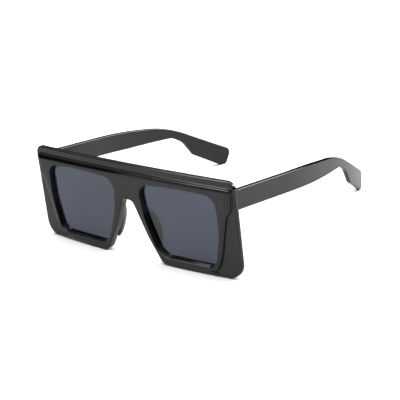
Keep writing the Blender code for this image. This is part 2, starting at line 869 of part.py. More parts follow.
def build_temple(side_name, side):
    name = f"{side_name}_temple"
    pivot = pivots[side_name]
    axes = ((0.0, 0.0, 1.0), (1.0, 0.0, 0.0), (0.0, 1.0, 0.0))
    flat = slab(name, temple_outline(), temple_thickness, temple_edge_radius, axes)
    middle_x = temple_outer_x - temple_thickness / 2

    def bend(place):
        return Vector((side * (middle_x - bend_at(place.y)), 0.0, 0.0))

    start = along_temple(bend_start_share)
    blade = bent(flat, name, (0.0, 1.0, 0.0), start, overall_depth, temple_slices, bend)
    temple = add_piece(name, blade, temple_plastic, pivot)

    places, direction = temple_screw_places(side)
    combine(temple, temple_pocket(f"{name}_pocket", side, pivot), "DIFFERENCE")
    combine(temple, pivot_relief(f"{name}_relief", side, pivot), "DIFFERENCE")
    combine(temple, leaf_screw_holes(f"{name}_holes", places, direction, pivot), "DIFFERENCE")
    wire_end_y = along_temple(wire_end_share)
    bore_path = wire_path(side, temple_front_y - overrun, wire_end_y + seat_gap)
    bore = tube(f"{name}_bore", bore_path, wire_radius + wire_gap)
    combine(temple, add_cutter(f"{name}_bore", bore, pivot), "DIFFERENCE")

    core_path = wire_path(side, temple_front_y + wire_start_setback, wire_end_y)
    wire = tube(f"{side_name}_core_wire", core_path, wire_radius)
    add_piece(f"{side_name}_core_wire", wire, wire_steel, pivot)


# Hinges

def build_front_leaf(side_name, side):
    name = f"{side_name}_front_hinge_leaf"
    outer = pivot_x - knuckle_radius - seat_gap
    low_y = hinge_seat_y - leaf_sink
    high_y = low_y + leaf_thickness
    plate = bmesh.new()
    low = (side * (outer - front_leaf_length), low_y, hinge_bottom_z)
    box(plate, low, (side * outer, high_y, hinge_top_z))
    leaf = add_piece(name, finished(plate, name), leaf_steel, assembly)

    tabs = bmesh.new()
    barrels = bmesh.new()
    for index in range(0, knuckle_count, 2):
        bottom, top = knuckle_span(index)
        place = (side * pivot_x, pivot_y)
        cylinder(barrels, (*place, bottom), (*place, top), knuckle_radius, barrel_sides)
        inner = side * (outer - tab_overlap)
        box(tabs, (inner, low_y + tab_inset, bottom), (side * pivot_x, high_y - tab_inset, top))
    finish_leaf(leaf, name, side, tabs, barrels, front_screw_places(side), assembly)


def build_temple_leaf(side_name, side):
    name = f"{side_name}_temple_hinge_leaf"
    pivot = pivots[side_name]
    first = pivot_y + knuckle_radius + seat_gap
    high_x = temple_inner_x + leaf_sink
    low_x = high_x - leaf_thickness
    plate = bmesh.new()
    high = (side * high_x, first + temple_leaf_length, hinge_top_z)
    box(plate, (side * low_x, first, hinge_bottom_z), high)
    leaf = add_piece(name, finished(plate, name), leaf_steel, pivot)

    tabs = bmesh.new()
    barrels = bmesh.new()
    for index in range(1, knuckle_count, 2):
        bottom, top = knuckle_span(index)
        place = (side * pivot_x, pivot_y)
        cylinder(barrels, (*place, bottom), (*place, top), knuckle_radius, barrel_sides)
        low = (side * (low_x + tab_inset), pivot_y, bottom)
        box(tabs, low, (side * (high_x - tab_inset), first + tab_overlap, top))
    finish_leaf(leaf, name, side, tabs, barrels, temple_screw_places(side), pivot)


def finish_leaf(leaf, name, side, tabs, barrels, screws, parent):
    """Join the tabs and barrels to a leaf, bore it and sink its screw holes."""
    place = (side * pivot_x, pivot_y)
    bore = bmesh.new()
    start = (*place, hinge_bottom_z - overrun)
    end = (*place, hinge_top_z + overrun)
    cylinder(bore, start, end, hinge_screw_radius + running_gap, barrel_sides)
    places, direction = screws
    combine(leaf, add_cutter(f"{name}_tabs", finished(tabs, f"{name}_tabs"), parent), "UNION")
    joined = add_cutter(f"{name}_barrels", finished(barrels, f"{name}_barrels"), parent)
    combine(leaf, joined, "UNION")
    bored = add_cutter(f"{name}_bore", finished(bore, f"{name}_bore"), parent)
    combine(leaf, bored, "DIFFERENCE")
    combine(leaf, leaf_screw_holes(f"{name}_holes", places, direction, parent), "DIFFERENCE")
    combine(leaf, countersinks(f"{name}_sinks", places, direction, parent), "DIFFERENCE")


def turned_screw(name, profile, place, direction, parent):
    """A screw turned from a profile of (radius, depth below the top of its head)."""
    mesh = bpy.data.meshes.new(name)
    points = [(radius, 0.0, -depth) for radius, depth in profile]
    edges = [(index, index + 1) for index in range(len(points) - 1)]
    mesh.from_pydata(points, edges, [])
    screw = bpy.data.objects.new(name, mesh)
    parts.objects.link(screw)
    mesh.materials.append(screw_steel)
    screw.parent = parent
    screw.location = Vector(place) - (Vector() if parent is assembly else parent.location)
    screw.rotation_euler = (-Vector(direction)).to_track_quat("Z", "Y").to_euler()
    turn = screw.modifiers.new("turned", "SCREW")
    turn.steps = screw_sides
    turn.render_steps = screw_sides
    turn.use_merge_vertices = True
    turn.merge_threshold = merge_distance
    return screw


def leaf_screw_profile():
    """Countersunk head and plain shank."""
    return (
        (0.0, 0.0),
        (leaf_screw_head_radius, 0.0),
        (leaf_screw_radius, leaf_screw_head_height),
        (leaf_screw_radius, leaf_screw_length),
        (0.0, leaf_screw_length),
    )


def hinge_screw_profile():
    """Flat head above the top knuckle and a shank through all the knuckles."""
    length = hinge_screw_head_height + running_gap + hinge_height
    return (
        (0.0, 0.0),
        (hinge_screw_head_radius, 0.0),
        (hinge_screw_head_radius, hinge_screw_head_height),
        (hinge_screw_radius, hinge_screw_head_height),
        (hinge_screw_radius, length),
        (0.0, length),
    )


def build_screws(side_name, side):
    top = hinge_top_z + running_gap + hinge_screw_head_height
    place = (side * pivot_x, pivot_y, top)
    down = (0.0, 0.0, -1.0)
    turned_screw(f"{side_name}_hinge_screw", hinge_screw_profile(), place, down, assembly)
    places, direction = front_screw_places(side)
    for which, place in places.items():
        name = f"{side_name}_front_leaf_screw_{which}"
        turned_screw(name, leaf_screw_profile(), place, direction, assembly)
    places, direction = temple_screw_places(side)
    for which, place in places.items():
        name = f"{side_name}_temple_leaf_screw_{which}"
        turned_screw(name, leaf_screw_profile(), place, direction, pivots[side_name])


# Nose pads

def build_pad(side_name, side):
    """A cemented pad: a leaning oval dome cut off flat where it sits on the back of the rim."""
    seat_y = front_thickness + wrap_at(pad_x) + seat_gap
    dome = bmesh.new()
    size = Matrix.Diagonal((pad_half_thickness, pad_half_depth, pad_half_height, 1.0))
    lean = Matrix.Rotation(-side * pad_lean, 4, "Y")
    splay = Matrix.Rotation(-side * pad_splay, 4, "Z")
    move = Matrix.Translation((side * pad_x, seat_y, pad_z))
    bmesh.ops.create_uvsphere(
        dome,
        u_segments=screw_sides,
        v_segments=hole_sides,
        radius=1.0,
        matrix=move @ lean @ splay @ size,
    )
    name = f"{side_name}_nose_pad"
    pad = add_piece(name, finished(dome, name), pad_plastic, assembly)
    front_space = bmesh.new()
    low = (side * -overrun, seat_y - pad_half_depth - overrun, -overrun)
    high = (side * (pad_x + pad_half_height + pad_half_depth), seat_y, front_height)
    box(front_space, low, high)
    cutter = add_cutter(f"{name}_seat", finished(front_space, f"{name}_seat"), assembly)
    combine(pad, cutter, "DIFFERENCE")


build_front()
for side_name, side in (("left", 1), ("right", -1)):
    build_lens(side_name, side)
    build_pad(side_name, side)
    build_temple(side_name, side)
    build_front_leaf(side_name, side)
    build_temple_leaf(side_name, side)
    build_screws(side_name, side)
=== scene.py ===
"""Looks of a pair of square flat-topped sunglasses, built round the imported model.

Every length is in metres.  The shapes are drawn as the part is: x = 0 is the plane of
symmetry, z = 0 is the table, and y = 0 is the middle of the raised face.  The finished
meshes are then moved forward by half the overall depth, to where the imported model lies.
"""

import json
import math

import bmesh
import bpy
import numpy as np
from mathutils import Matrix, Vector


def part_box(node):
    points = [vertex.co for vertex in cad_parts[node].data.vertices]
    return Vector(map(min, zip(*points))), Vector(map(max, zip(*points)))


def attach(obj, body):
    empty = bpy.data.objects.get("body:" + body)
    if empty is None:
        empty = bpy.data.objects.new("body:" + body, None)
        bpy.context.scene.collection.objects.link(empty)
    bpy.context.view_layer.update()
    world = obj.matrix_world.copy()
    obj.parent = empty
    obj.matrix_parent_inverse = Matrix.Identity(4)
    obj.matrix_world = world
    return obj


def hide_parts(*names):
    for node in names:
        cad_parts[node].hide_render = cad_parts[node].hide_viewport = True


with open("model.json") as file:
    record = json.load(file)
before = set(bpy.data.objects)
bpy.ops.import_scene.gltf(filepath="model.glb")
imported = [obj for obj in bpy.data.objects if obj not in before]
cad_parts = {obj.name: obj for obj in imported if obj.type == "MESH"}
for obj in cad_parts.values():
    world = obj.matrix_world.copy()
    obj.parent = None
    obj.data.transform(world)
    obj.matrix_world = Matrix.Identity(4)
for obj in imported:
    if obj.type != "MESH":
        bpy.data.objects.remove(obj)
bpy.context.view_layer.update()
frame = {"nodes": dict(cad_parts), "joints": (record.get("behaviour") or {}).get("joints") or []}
mm = 0.001

# Overall sizes, the same as the part's
front_width = 150.6 * mm
front_height = 55.6 * mm
overall_depth = 147.4 * mm
front_wrap = 2.0 * mm
front_thickness = 5.0 * mm
flange_step = 2.2 * mm
half_width = front_width / 2
seat_gap = 0.3 * mm
overrun = 1.0 * mm
merge_distance = 0.001 * mm
fine_merge_distance = merge_distance / 10
straight_half_angle = math.radians(89.9)

# Outer outline of the front
brow_corner_radius = 5.0 * mm
foot_corner_radius = 8.5 * mm
foot_corner_rise = 0.7 * mm
foot_flat_margin = 25.0 * mm
foot_blend_radius = 60.0 * mm
nasal_foot_x = 21.6 * mm
nasal_foot_radius = 6.5 * mm
arch_height = 35.1 * mm
arch_top_x = 3.6 * mm
arch_top_radius = 4.0 * mm
arch_knee_x = 12.4 * mm
arch_knee_z = 15.3 * mm
arch_knee_radius = 40.0 * mm

# Mouth of a lens opening: the box round it, and its corners as shares of that box
mouth_inner_x = 8.8 * mm
mouth_bottom_z = 5.0 * mm
mouth_width = half_width - 11.4 * mm - mouth_inner_x
mouth_height = front_height - 8.4 * mm - mouth_bottom_z
mouth_draft = 0.3 * mm
mouth_corner_table = (
    (0.000, 0.970, 7.5 * mm, True),
    (0.530, 1.000, 90.0 * mm, False),
    (0.995, 0.985, 7.5 * mm, True),
    (1.000, 0.474, 40.0 * mm, False),
    (0.922, 0.007, 6.5 * mm, True),
    (0.202, 0.000, 10.5 * mm, True),
    (0.044, 0.521, 40.0 * mm, False),
)

# Edge of the raised face, and the crease that it turns into
raised_top_z = front_height - 4.3 * mm
raised_corner = (half_width - 2.2 * mm, raised_top_z, 1.6 * mm, True)
notch = (half_width - 2.7 * mm, front_height - 15.8 * mm, 1.2 * mm, False)
notch_foot = (half_width - 5.9 * mm, front_height - 20.2 * mm, 2.5 * mm, False)
crease_start = (half_width - 10.4 * mm, 15.5 * mm)
crease_turn = np.array([half_width - 12.5 * mm, 6.6 * mm])
crease_end_share = 0.38
crease_fade_share = 0.35
crease_end_depth = 0.65
foot_fade_share = 0.22
face_line_inset = 1.45 * mm
faded_step_share = 0.3
crown_width = 4.1 * mm
crown_depth = 0.6 * mm
side_crown_share = 0.55

# Edge roundings and lens groove of the front
mouth_edge_radius = 0.4 * mm
step_edge_radius = 0.45 * mm
step_draft = 0.15 * mm
step_round_share = 0.3
outer_edge_radius = 0.7 * mm
back_edge_inset = 0.5 * mm
back_edge_depth = 1.2 * mm
back_lip_radius = 0.3 * mm
groove_front = 2.4 * mm
groove_back = 4.2 * mm
groove_depth = 0.9 * mm
groove_gap = 0.2 * mm

# Stations round the front, leg by leg, and how they meet the mouth where an outline bends
leg_stations = {"brow": 40, "brow_corner": 20, "side": 150, "crease": 40, "foot": 40, "nose": 90}
bridge_stations = 20
side_rim_shares = (0.0, 0.10, 0.18, 0.22, 0.26, 0.31, 0.36, 0.41, 0.50, 0.62, 0.75, 0.88, 1.0)
side_lip_shares = (0.0, 0.05, 0.08, 0.10, 0.12, 0.15, 0.20, 0.26, 0.38, 0.54, 0.70, 0.86, 1.0)
nose_rim_shares = (0.0, 0.06, 0.12, 0.18, 0.25, 0.33, 0.43, 0.55, 0.67, 0.77, 0.86, 0.93, 1.0)
nose_lip_shares = (0.0, 0.04, 0.08, 0.13, 0.19, 0.29, 0.40, 0.53, 0.67, 0.78, 0.87, 0.94, 1.0)
foot_settled_share = 0.85
corner_steps = 14
edge_steps = 5
face_steps = 9
inner_border_share = 1.3

# Lenses
lens_edge_radius = 0.15 * mm
lens_counts = (64, 48)

# Temples
temple_outer_x = half_width - 0.9 * mm
temple_thickness = 3.0 * mm
temple_edge_radius = 0.6 * mm
temple_corner_radius = 0.9 * mm
temple_top_z = front_height - 5.1 * mm
temple_bottom_z = temple_top_z - 11.4 * mm
blade_z = temple_top_z - 7.7 * mm
ear_bend_z = temple_top_z - 14.5 * mm
temple_bend_radius = 235.0 * mm
bend_start_share = 0.304
temple_counts = (260, 14)

# Side view of a temple: corners as (share of the length, height, rounding), and the two
# corners of the paddle at its rear end
temple_top_corners = (
    (0.0, temple_top_z, temple_corner_radius),
    (0.449, blade_z, 250 * mm),
    (0.701, ear_bend_z, 75 * mm),
)
paddle_corners = (
    (overall_depth + 1.3 * mm, 9.2 * mm, 4.0 * mm),
    (overall_depth - 3.7 * mm, -1.85 * mm, 3.5 * mm),
)
temple_foot_corners = (
    (0.824, ear_bend_z * 0.335, 1.8 * mm),
    (0.780, ear_bend_z * 0.62, 15 * mm),
    (0.724, ear_bend_z - 8.2 * mm, 13 * mm),
    (0.478, blade_z - 11.9 * mm, 60 * mm),
    (0.0, temple_bottom_z, temple_corner_radius),
)

# Nose pads
pad_x = 12.6 * mm
pad_z = 19.0 * mm
pad_half_sizes = (1.7 * mm, 5.6 * mm, 11.2 * mm)
pad_lean = math.radians(17.0)
pad_splay = math.radians(12.0)
pad_edge_radius = 0.4 * mm
pad_reach_share = 0.54
pad_reach_turn = 0.5
pad_reach_lean = 0.9
pad_reach_ease = 0.6 * mm
pad_rings = 72
pad_sides = 96

# Hinges and screws
leaf_edge_bevel = 0.12 * mm
leaf_flat_angle = math.radians(1.0)
leaf_edge_angle = math.radians(40.0)
leaf_bevel_steps = 2
cutter_sides = 48
screw_sides = 48
screw_end_chamfer = 0.12 * mm
slot_length = 4.0 * mm
slot_width = 0.32 * mm
slot_depth = 0.30 * mm
slot_turns = {"upper": 0.5, "lower": -0.9, "front": 1.9, "rear": 0.2, "screw": 0.8}
wire_gap = 0.15 * mm
wire_end_reach = 0.1 * mm

# Screw heads, as (radius, depth) in millimetres, down to where the shank starts
hinge_screw_profile = (
    *((0.00, 0.00), (0.98, 0.00), (1.06, 0.03), (1.10, 0.12)),
    *((1.10, 0.62), (1.04, 0.70), (0.60, 0.70)),
)
leaf_screw_profile = ((0.00, 0.00), (0.84, 0.00), (0.90, 0.05), (0.50, 0.45))

smooth_angle = math.radians(32.0)
sides = {"left": 1, "right": -1}


# Curves and grids

def smooth(share):
    """Ease in and out: 3 s^2 - 2 s^3 between 0 and 1."""
    share = np.clip(share, 0.0, 1.0)
    return share * share * (3 - 2 * share)


def wrap_at(x):
    """The front's curve back from the middle: a parabola that reaches the wrap at its ends."""
    return front_wrap * (x / half_width) ** 2


def unit(vectors):
    """Vectors at length one."""
    return vectors / np.linalg.norm(vectors, axis=-1, keepdims=True)


def fillet(before, corner, after, radius):
    """Arc of a circle that touches both straight lines at a corner, as an array of points."""
    before, corner, after = (np.array(point[:2], float) for point in (before, corner, after))
    back, ahead = unit(before - corner), unit(after - corner)
    half_angle = math.acos(np.clip(back @ ahead, -1.0, 1.0)) / 2
    if radius == 0 or half_angle > straight_half_angle:
        return corner[None, :]
    centre = corner + unit(back + ahead) * radius / math.sin(half_angle)
    start = corner + back * radius / math.tan(half_angle) - centre
    end = corner + ahead * radius / math.tan(half_angle) - centre
    turn = math.atan2(start[0] * end[1] - start[1] * end[0], start @ end)
    angles = turn * np.linspace(0.0, 1.0, corner_steps + 1)[:, None]
    return centre + start * np.cos(angles) + np.array([-start[1], start[0]]) * np.sin(angles)


def filleted(corners):
    """The arcs of a closed outline, one for each corner given as (across, up, radius)."""
    following = [*corners[1:], corners[0]]
    return [
        fillet(corners[index - 1], corner, after, corner[2])
        for index, (corner, after) in enumerate(zip(corners, following))
    ]


def split_legs(start, corners, end):
    """Legs of an open path: each corner marked True is a leg, and so is each run between."""
    path = [start, *corners, end]
    legs = [[np.array([start[:2]], float)]]
    for before, corner, after in zip(path, path[1:], path[2:]):
        arc = fillet(before, corner, after, corner[2])
        if corner[3]:
            legs[-1].append(arc[:1])
            legs += [[arc], [arc[-1:]]]
        else:
            legs[-1].append(arc)
    legs[-1].append(np.array([end[:2]], float))
    return [np.concatenate(leg) for leg in legs]


def along(path, shares):
    """Points at shares of a path's length."""
    steps = np.linalg.norm(np.diff(path, axis=0), axis=1)
    lengths = np.concatenate([[0.0], np.cumsum(steps)])
    places = np.asarray(shares) * lengths[-1]
    return np.stack([np.interp(places, lengths, path[:, axis]) for axis in (0, 1)], axis=-1)


def left_normals(points, closed=False):
    """Unit normals on the left of a path, from the chord between each point's neighbours.

    An open path starts and ends on the plane of symmetry, where it lies level.
    """
    chords = np.roll(points, -1, axis=0) - np.roll(points, 1, axis=0)
    normals = unit(np.stack([-chords[:, 1], chords[:, 0]], axis=-1))
    if not closed:
        normals[0], normals[-1] = (0.0, 1.0), (0.0, -1.0)
    return normals


def quarter(steps):
    """Cosine and sine over a quarter turn."""
    angles = np.linspace(0.0, math.pi / 2, steps + 1)
    return np.cos(angles), np.sin(angles)


def between(first, last, steps):
    """Points between two arrays of points, without the ends, as extra columns."""
    shares = (np.arange(1, steps) / steps)[:, None]
    return first[:, None, :] * (1 - shares) + last[:, None, :] * shares


def numbered(rows, start=0):
    """Vertex numbers of rows of points."""
    return start + np.arange(rows[..., 0].size).reshape(rows.shape[:2])


def turned_rows(radii, heights, sides):
    """A profile turned round the upright axis: a row of points for each radius and height."""
    angles = np.linspace(0.0, 2 * math.pi, sides + 1)
    x, y = np.outer(radii, np.cos(angles)), np.outer(radii, np.sin(angles))
    return np.stack([x, y, np.outer(heights, np.ones_like(angles))], axis=-1)


def quads(numbers):
    """Quads between neighbouring rows and columns of an array of vertex numbers."""
    corners = (numbers[:-1, :-1], numbers[:-1, 1:], numbers[1:, 1:], numbers[1:, :-1])
    return np.stack([corner.ravel() for corner in corners], axis=-1)


def welded(name, vertices, faces):
    """A closed mesh from arrays, its doubles merged and its faces turned outwards."""
    mesh = bpy.data.meshes.new(name)
    mesh.from_pydata(vertices.tolist(), [], faces.tolist())
    weld = bmesh.new()
    weld.from_mesh(mesh)
    bmesh.ops.remove_doubles(weld, verts=weld.verts, dist=merge_distance)
    bmesh.ops.dissolve_degenerate(weld, edges=weld.edges, dist=merge_distance)
    bmesh.ops.recalc_face_normals(weld, faces=weld.faces)
    weld.to_mesh(mesh)
    weld.free()
    return mesh


def placed(mesh):
    """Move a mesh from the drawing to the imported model's place."""
    mesh.transform(Matrix.Translation((0.0, -overall_depth / 2, 0.0)))
    return mesh


# Front

def mouth_corners():
    """Corners of a lens opening in the drawing, clockwise from the nose."""
    return [
        (mouth_inner_x + across * mouth_width, mouth_bottom_z + up * mouth_height, radius, leg)
        for across, up, radius, leg in mouth_corner_table
    ]


def named_legs(legs):
    """Legs by name; the nose leg is the last corner with the run after it."""
    if len(legs) > len(leg_stations):
        legs = [*legs[:-2], np.concatenate(legs[-2:])]
    return dict(zip(leg_stations, legs))


def outer_legs():
    """The rim of the front in the drawing, from the middle of the brow to that of the arch."""
    corners = [
        (half_width, front_height, brow_corner_radius, True),
        (half_width, foot_corner_rise, foot_corner_radius, True),
        (half_width - foot_flat_margin, 0.0, foot_blend_radius, False),
        (nasal_foot_x, 0.0, nasal_foot_radius, True),
        (arch_knee_x, arch_knee_z, arch_knee_radius, False),
        (arch_top_x, arch_height, arch_top_radius, False),
    ]
    return named_legs(split_legs((0.0, front_height), corners, (0.0, arch_height)))


def front_stations():
    """Matching points of mouth, raised edge and rim, with how far step and rim stand back.

    Each leg of the three outlines is sampled at the same shares.  The step is full along
    brow and side, lower along the crease, and fades along the start of the foot, where the
    flange comes forward to the face.  The crown is full along the brow and fades round its corner.
    """
    corners = mouth_corners()
    nose_top = fillet(corners[-1], corners[0], corners[1], corners[0][2])
    mouth = named_legs(split_legs(nose_top[-1], corners[1:], nose_top[0]))
    outer = outer_legs()
    raised_path = split_legs((0.0, raised_top_z), [raised_corner, notch, notch_foot], crease_start)
    raised = dict(zip(leg_stations, raised_path))
    crease_end = mouth["foot"][0] * (1 - crease_end_share) + outer["foot"][0] * crease_end_share
    tables = {
        "side": (side_rim_shares, side_lip_shares),
        "nose": (nose_rim_shares, nose_lip_shares),
    }
    rows = []
    for leg, count in leg_stations.items():
        shares = np.linspace(0.0, 1.0, count, endpoint=leg == "nose")
        lip = along(mouth[leg], np.interp(shares, *tables.get(leg, ((0, 1), (0, 1)))))
        rim = along(outer[leg], shares)
        depth = rim_depth = settled = crown = np.zeros(count)
        edge = rim
        column = shares[:, None]
        if leg in raised:
            edge = along(raised[leg], shares)
            depth = rim_depth = np.ones(count)
            side_crown = np.full(count, side_crown_share)
            corner_crown = 1 - (1 - side_crown_share) * smooth(shares)
            crown = {"brow": depth, "brow_corner": corner_crown, "side": side_crown}[leg]
        elif leg == "crease":
            first = np.array(crease_start) * (1 - column) + crease_turn * column
            last = crease_turn * (1 - column) + crease_end * column
            edge = first * (1 - column) + last * column
            fade = smooth((shares - crease_fade_share) / (1 - crease_fade_share))
            depth = 1 - (1 - crease_end_depth) * fade
            crown = side_crown_share * (1 - smooth(shares))
            rim_depth = 1 - (1 - crease_end_depth) * smooth(shares)
        elif leg == "foot":
            edge = lip * (1 - crease_end_share) + rim * crease_end_share
            depth = crease_end_depth * (1 - smooth(shares / foot_fade_share))
            rim_depth = crease_end_depth * (1 - smooth(shares / foot_settled_share))
            settled = smooth(shares)
        else:
            settled = np.ones(count)
        rows.append((lip, edge, rim, depth, rim_depth, settled, crown))
    lip, edge, rim, depth, rim_depth, settled, crown = map(np.concatenate, zip(*rows))
    rim_normals = left_normals(rim)
    band = ((rim - lip) * rim_normals).sum(axis=1)
    inset = np.minimum(face_line_inset, (band + outer_edge_radius - mouth_edge_radius) / 2)
    edge += (rim - rim_normals * inset[:, None] - edge) * settled[:, None]
    edge_normals = left_normals(edge)
    bridge_lip = along(nose_top, np.arange(1, bridge_stations + 1) / (bridge_stations + 1))
    lip_normals = left_normals(np.concatenate([lip, bridge_lip]), closed=True)
    depths = (depth, rim_depth, crown * crown_depth)
    return lip, bridge_lip, lip_normals, edge, edge_normals, rim, rim_normals, depths


def section(points, normals, offsets, depths):
    """A profile of (offset, depth) carried along a path: rows of (x, depth, z)."""
    flat = points[:, None, :] + normals[:, None, :] * offsets[..., None]
    depths = np.broadcast_to(depths, flat.shape[:2])
    return np.stack([flat[..., 0], depths, flat[..., 1]], axis=-1)


def lip_profile():
    """Back lip, lens groove, wall and rounded mouth edge as offsets and depths."""
    wall = -mouth_draft
    cos, sin = quarter(edge_steps)
    offsets = np.concatenate([
        wall + back_lip_radius * (1 - sin),
        [wall, wall + groove_depth, wall + groove_depth, wall],
        mouth_edge_radius * (1 - cos),
    ])
    depths = np.concatenate([
        front_thickness - back_lip_radius * (1 - cos),
        [groove_back, groove_back, groove_front, groove_front],
        mouth_edge_radius * (1 - sin),
    ])
    return offsets, depths


def crown_at(points, edge, crown):
    """Fall of the raised face towards its edge: the square of how near the edge is."""
    runs = np.diff(edge, axis=0)
    away = points[:, None] - edge[None, :-1]
    shares = np.clip((away * runs).sum(axis=-1) / (runs * runs).sum(axis=-1), 0.0, 1.0)
    gaps = np.linalg.norm(away - shares[..., None] * runs, axis=-1)
    near = np.clip(1 - gaps.min(axis=1) / crown_width, 0.0, 1.0)
    return crown[gaps.argmin(axis=1)] * near * near


def step_profile(depth, crown):
    """The step: an elliptic edge, a wall with draft and an elliptic foot, narrower as it fades."""
    width = (faded_step_share + (1 - faded_step_share) * depth)[:, None]
    cos, sin = quarter(edge_steps)
    across = np.concatenate([sin - 1, 1 - cos]) * step_edge_radius
    draft = np.concatenate([np.zeros_like(sin), np.ones_like(sin)]) * step_draft
    fall = np.concatenate([step_round_share * (1 - cos), 1 - step_round_share * (1 - sin)])
    start = crown[:, None]
    return (across + draft) * width, start + fall * (depth[:, None] * flange_step - start)


def rim_profile(rim_depth):
    """The outer edge: a round from the flange to the side and a long ellipse to the back."""
    cos, sin = quarter(edge_steps)
    offsets = np.concatenate([outer_edge_radius * (1 - sin), back_edge_inset * (1 - cos)])
    start = rim_depth[:, None] * flange_step
    front = start + outer_edge_radius * (1 - cos)
    back = front_thickness - back_edge_depth * (1 - sin) + np.zeros_like(start)
    return -offsets, np.concatenate([front, back], axis=1)


def front_half():
    """Sections carried once round the lens opening: lip, raised face, step, flange, rim, back."""
    lip, bridge_lip, lip_normals, edge, edge_normals, rim, rim_normals, depths = front_stations()
    depth, rim_depth, crown = depths
    count = len(lip)
    lips = np.concatenate([lip, bridge_lip])
    lip_part = section(lips, lip_normals, *(part[None, :] for part in lip_profile()))
    step_part = section(edge, edge_normals, *step_profile(depth, crown))
    rim_offsets, rim_depths = rim_profile(rim_depth)
    rim_part = section(rim, rim_normals, rim_offsets[None, :], rim_depths)
    flange_part = between(step_part[:, -1], rim_part[:, 0], face_steps)
    outside = np.concatenate([step_part, flange_part, rim_part], axis=1)

    shares = smooth(np.arange(1, bridge_stations + 1) / (bridge_stations + 1))[:, None]
    middle = step_part[-1, 0] * (1 - shares) + step_part[0, 0] * shares
    middle[:, 1] = crown_at(middle[:, [0, 2]], edge, crown)
    middle_back = outside[-1, -1] * (1 - shares) + outside[0, -1] * shares
    plain = np.repeat(middle[:, None, :], outside.shape[1] - 1, axis=1)
    bridge_outside = np.concatenate([plain, middle_back[:, None, :]], axis=1)
    outside = np.concatenate([outside, bridge_outside])
    face_part = between(lip_part[:, -1], outside[:, 0], face_steps)
    flat = face_part[..., [0, 2]].reshape(-1, 2)
    face_part[..., 1] = crown_at(flat, edge, crown).reshape(face_part.shape[:2])
    back_part = between(outside[:, -1], lip_part[:, 0], face_steps)
    rows = np.concatenate([lip_part, face_part, outside, back_part], axis=1)
    rows[..., 1] += wrap_at(rows[..., 0])

    first = lip_part.shape[1] + face_part.shape[1]
    last = first + outside.shape[1] - 1
    numbers = numbered(rows)
    numbers = np.concatenate([numbers, numbers[:, :1]], axis=1)
    numbers = np.concatenate([numbers, numbers[:1]])
    round_opening = quads(numbers[:count])
    beside_bridge = [quads(numbers[count - 1:, :first + 1]), quads(numbers[count - 1:, last:])]
    return rows.reshape(-1, 3), np.concatenate([round_opening, *beside_bridge])


def front_mesh():
    """Both halves: the second is the first mirrored, with its faces turned round."""
    vertices, faces = front_half()
    mirrored = vertices * (-1.0, 1.0, 1.0)
    all_faces = np.concatenate([faces, faces[:, ::-1] + len(vertices)])
    return placed(welded("front_shell", np.concatenate([vertices, mirrored]), all_faces))


# Flat pieces with rounded edges

def coons(lower, upper, first, last):
    """Coons patch: a grid between four sides, the sum of both ways less the corners' own."""
    u = np.linspace(0.0, 1.0, len(lower))[:, None, None]
    v = np.linspace(0.0, 1.0, len(first))[None, :, None]
    ways = (1 - v) * lower[:, None] + v * upper[:, None] + (1 - u) * first + u * last
    corners = (1 - u) * ((1 - v) * first[0] + v * first[-1])
    corners = corners + u * ((1 - v) * last[0] + v * last[-1])
    return ways - corners


def corner_middles(arcs, corners):
    """Numbers of the middle points of some of an outline's corner arcs."""
    starts = np.cumsum([0] + [len(arc) for arc in arcs])
    return [starts[corner] + corner_steps // 2 for corner in corners]


def runs_between(outline, cuts):
    """The runs of a closed outline from each cut to the next, both ends included."""
    ring = np.concatenate([outline, outline])
    return [ring[start:end + 1] for start, end in zip(cuts, [*cuts[1:], cuts[0] + len(outline)])]


def slab(name, outline, cuts, counts, thickness, radius, place):
    """A flat shape with rounded edges: a Coons patch on each face, joined round its border.

    The outline is cut in four, from its upper side on, and each run gets its count of points.
    The border rings lie at insets of radius (1 - cos a) and heights of half the thickness
    less radius (1 - sin a); place turns (across, up, height) into points of the drawing.
    """
    runs = zip(runs_between(outline, cuts), counts * 2)
    sampled = [along(run, np.linspace(0.0, 1.0, count))[::-1] for run, count in runs]
    upper, last, lower, first = sampled
    border = np.concatenate([lower, last[1:], upper[1:], first[1:-1]])
    inward = left_normals(border, closed=True)
    turned = np.cross(border, np.roll(border, -1, axis=0)).sum() < 0
    inward = -inward if turned else inward
    cos, sin = quarter(edge_steps)
    insets = np.concatenate([radius * (1 - cos), [radius * inner_border_share]])
    heights = np.concatenate([thickness / 2 - radius * (1 - sin), [thickness / 2]])
    rings = border[None] + inward[None] * insets[:, None, None]
    steps = np.cumsum([0, counts[0] - 1, counts[1] - 1, counts[0] - 1])
    lower, last, upper, first = runs_between(rings[-1], list(steps))
    patch = coons(lower, upper[::-1], first[::-1], last)
    points, faces, total = [], [], 0
    for side in (1, -1):
        face = np.concatenate([patch, np.full(patch.shape[:2] + (1,), side * thickness / 2)], -1)
        points.append(face.reshape(-1, 3))
        faces.append(quads(numbered(face, total))[:, ::side])
        total += len(points[-1])
    outlines = np.concatenate([rings[::-1], rings])
    levels = np.concatenate([heights[::-1], -heights])[:, None, None]
    band = np.concatenate([outlines, np.broadcast_to(levels, outlines.shape[:2] + (1,))], -1)
    points.append(band.reshape(-1, 3))
    numbers = numbered(band, total)
    faces.append(quads(np.concatenate([numbers, numbers[:, :1]], axis=1)))
    return placed(welded(name, place(np.concatenate(points)), np.concatenate(faces)))


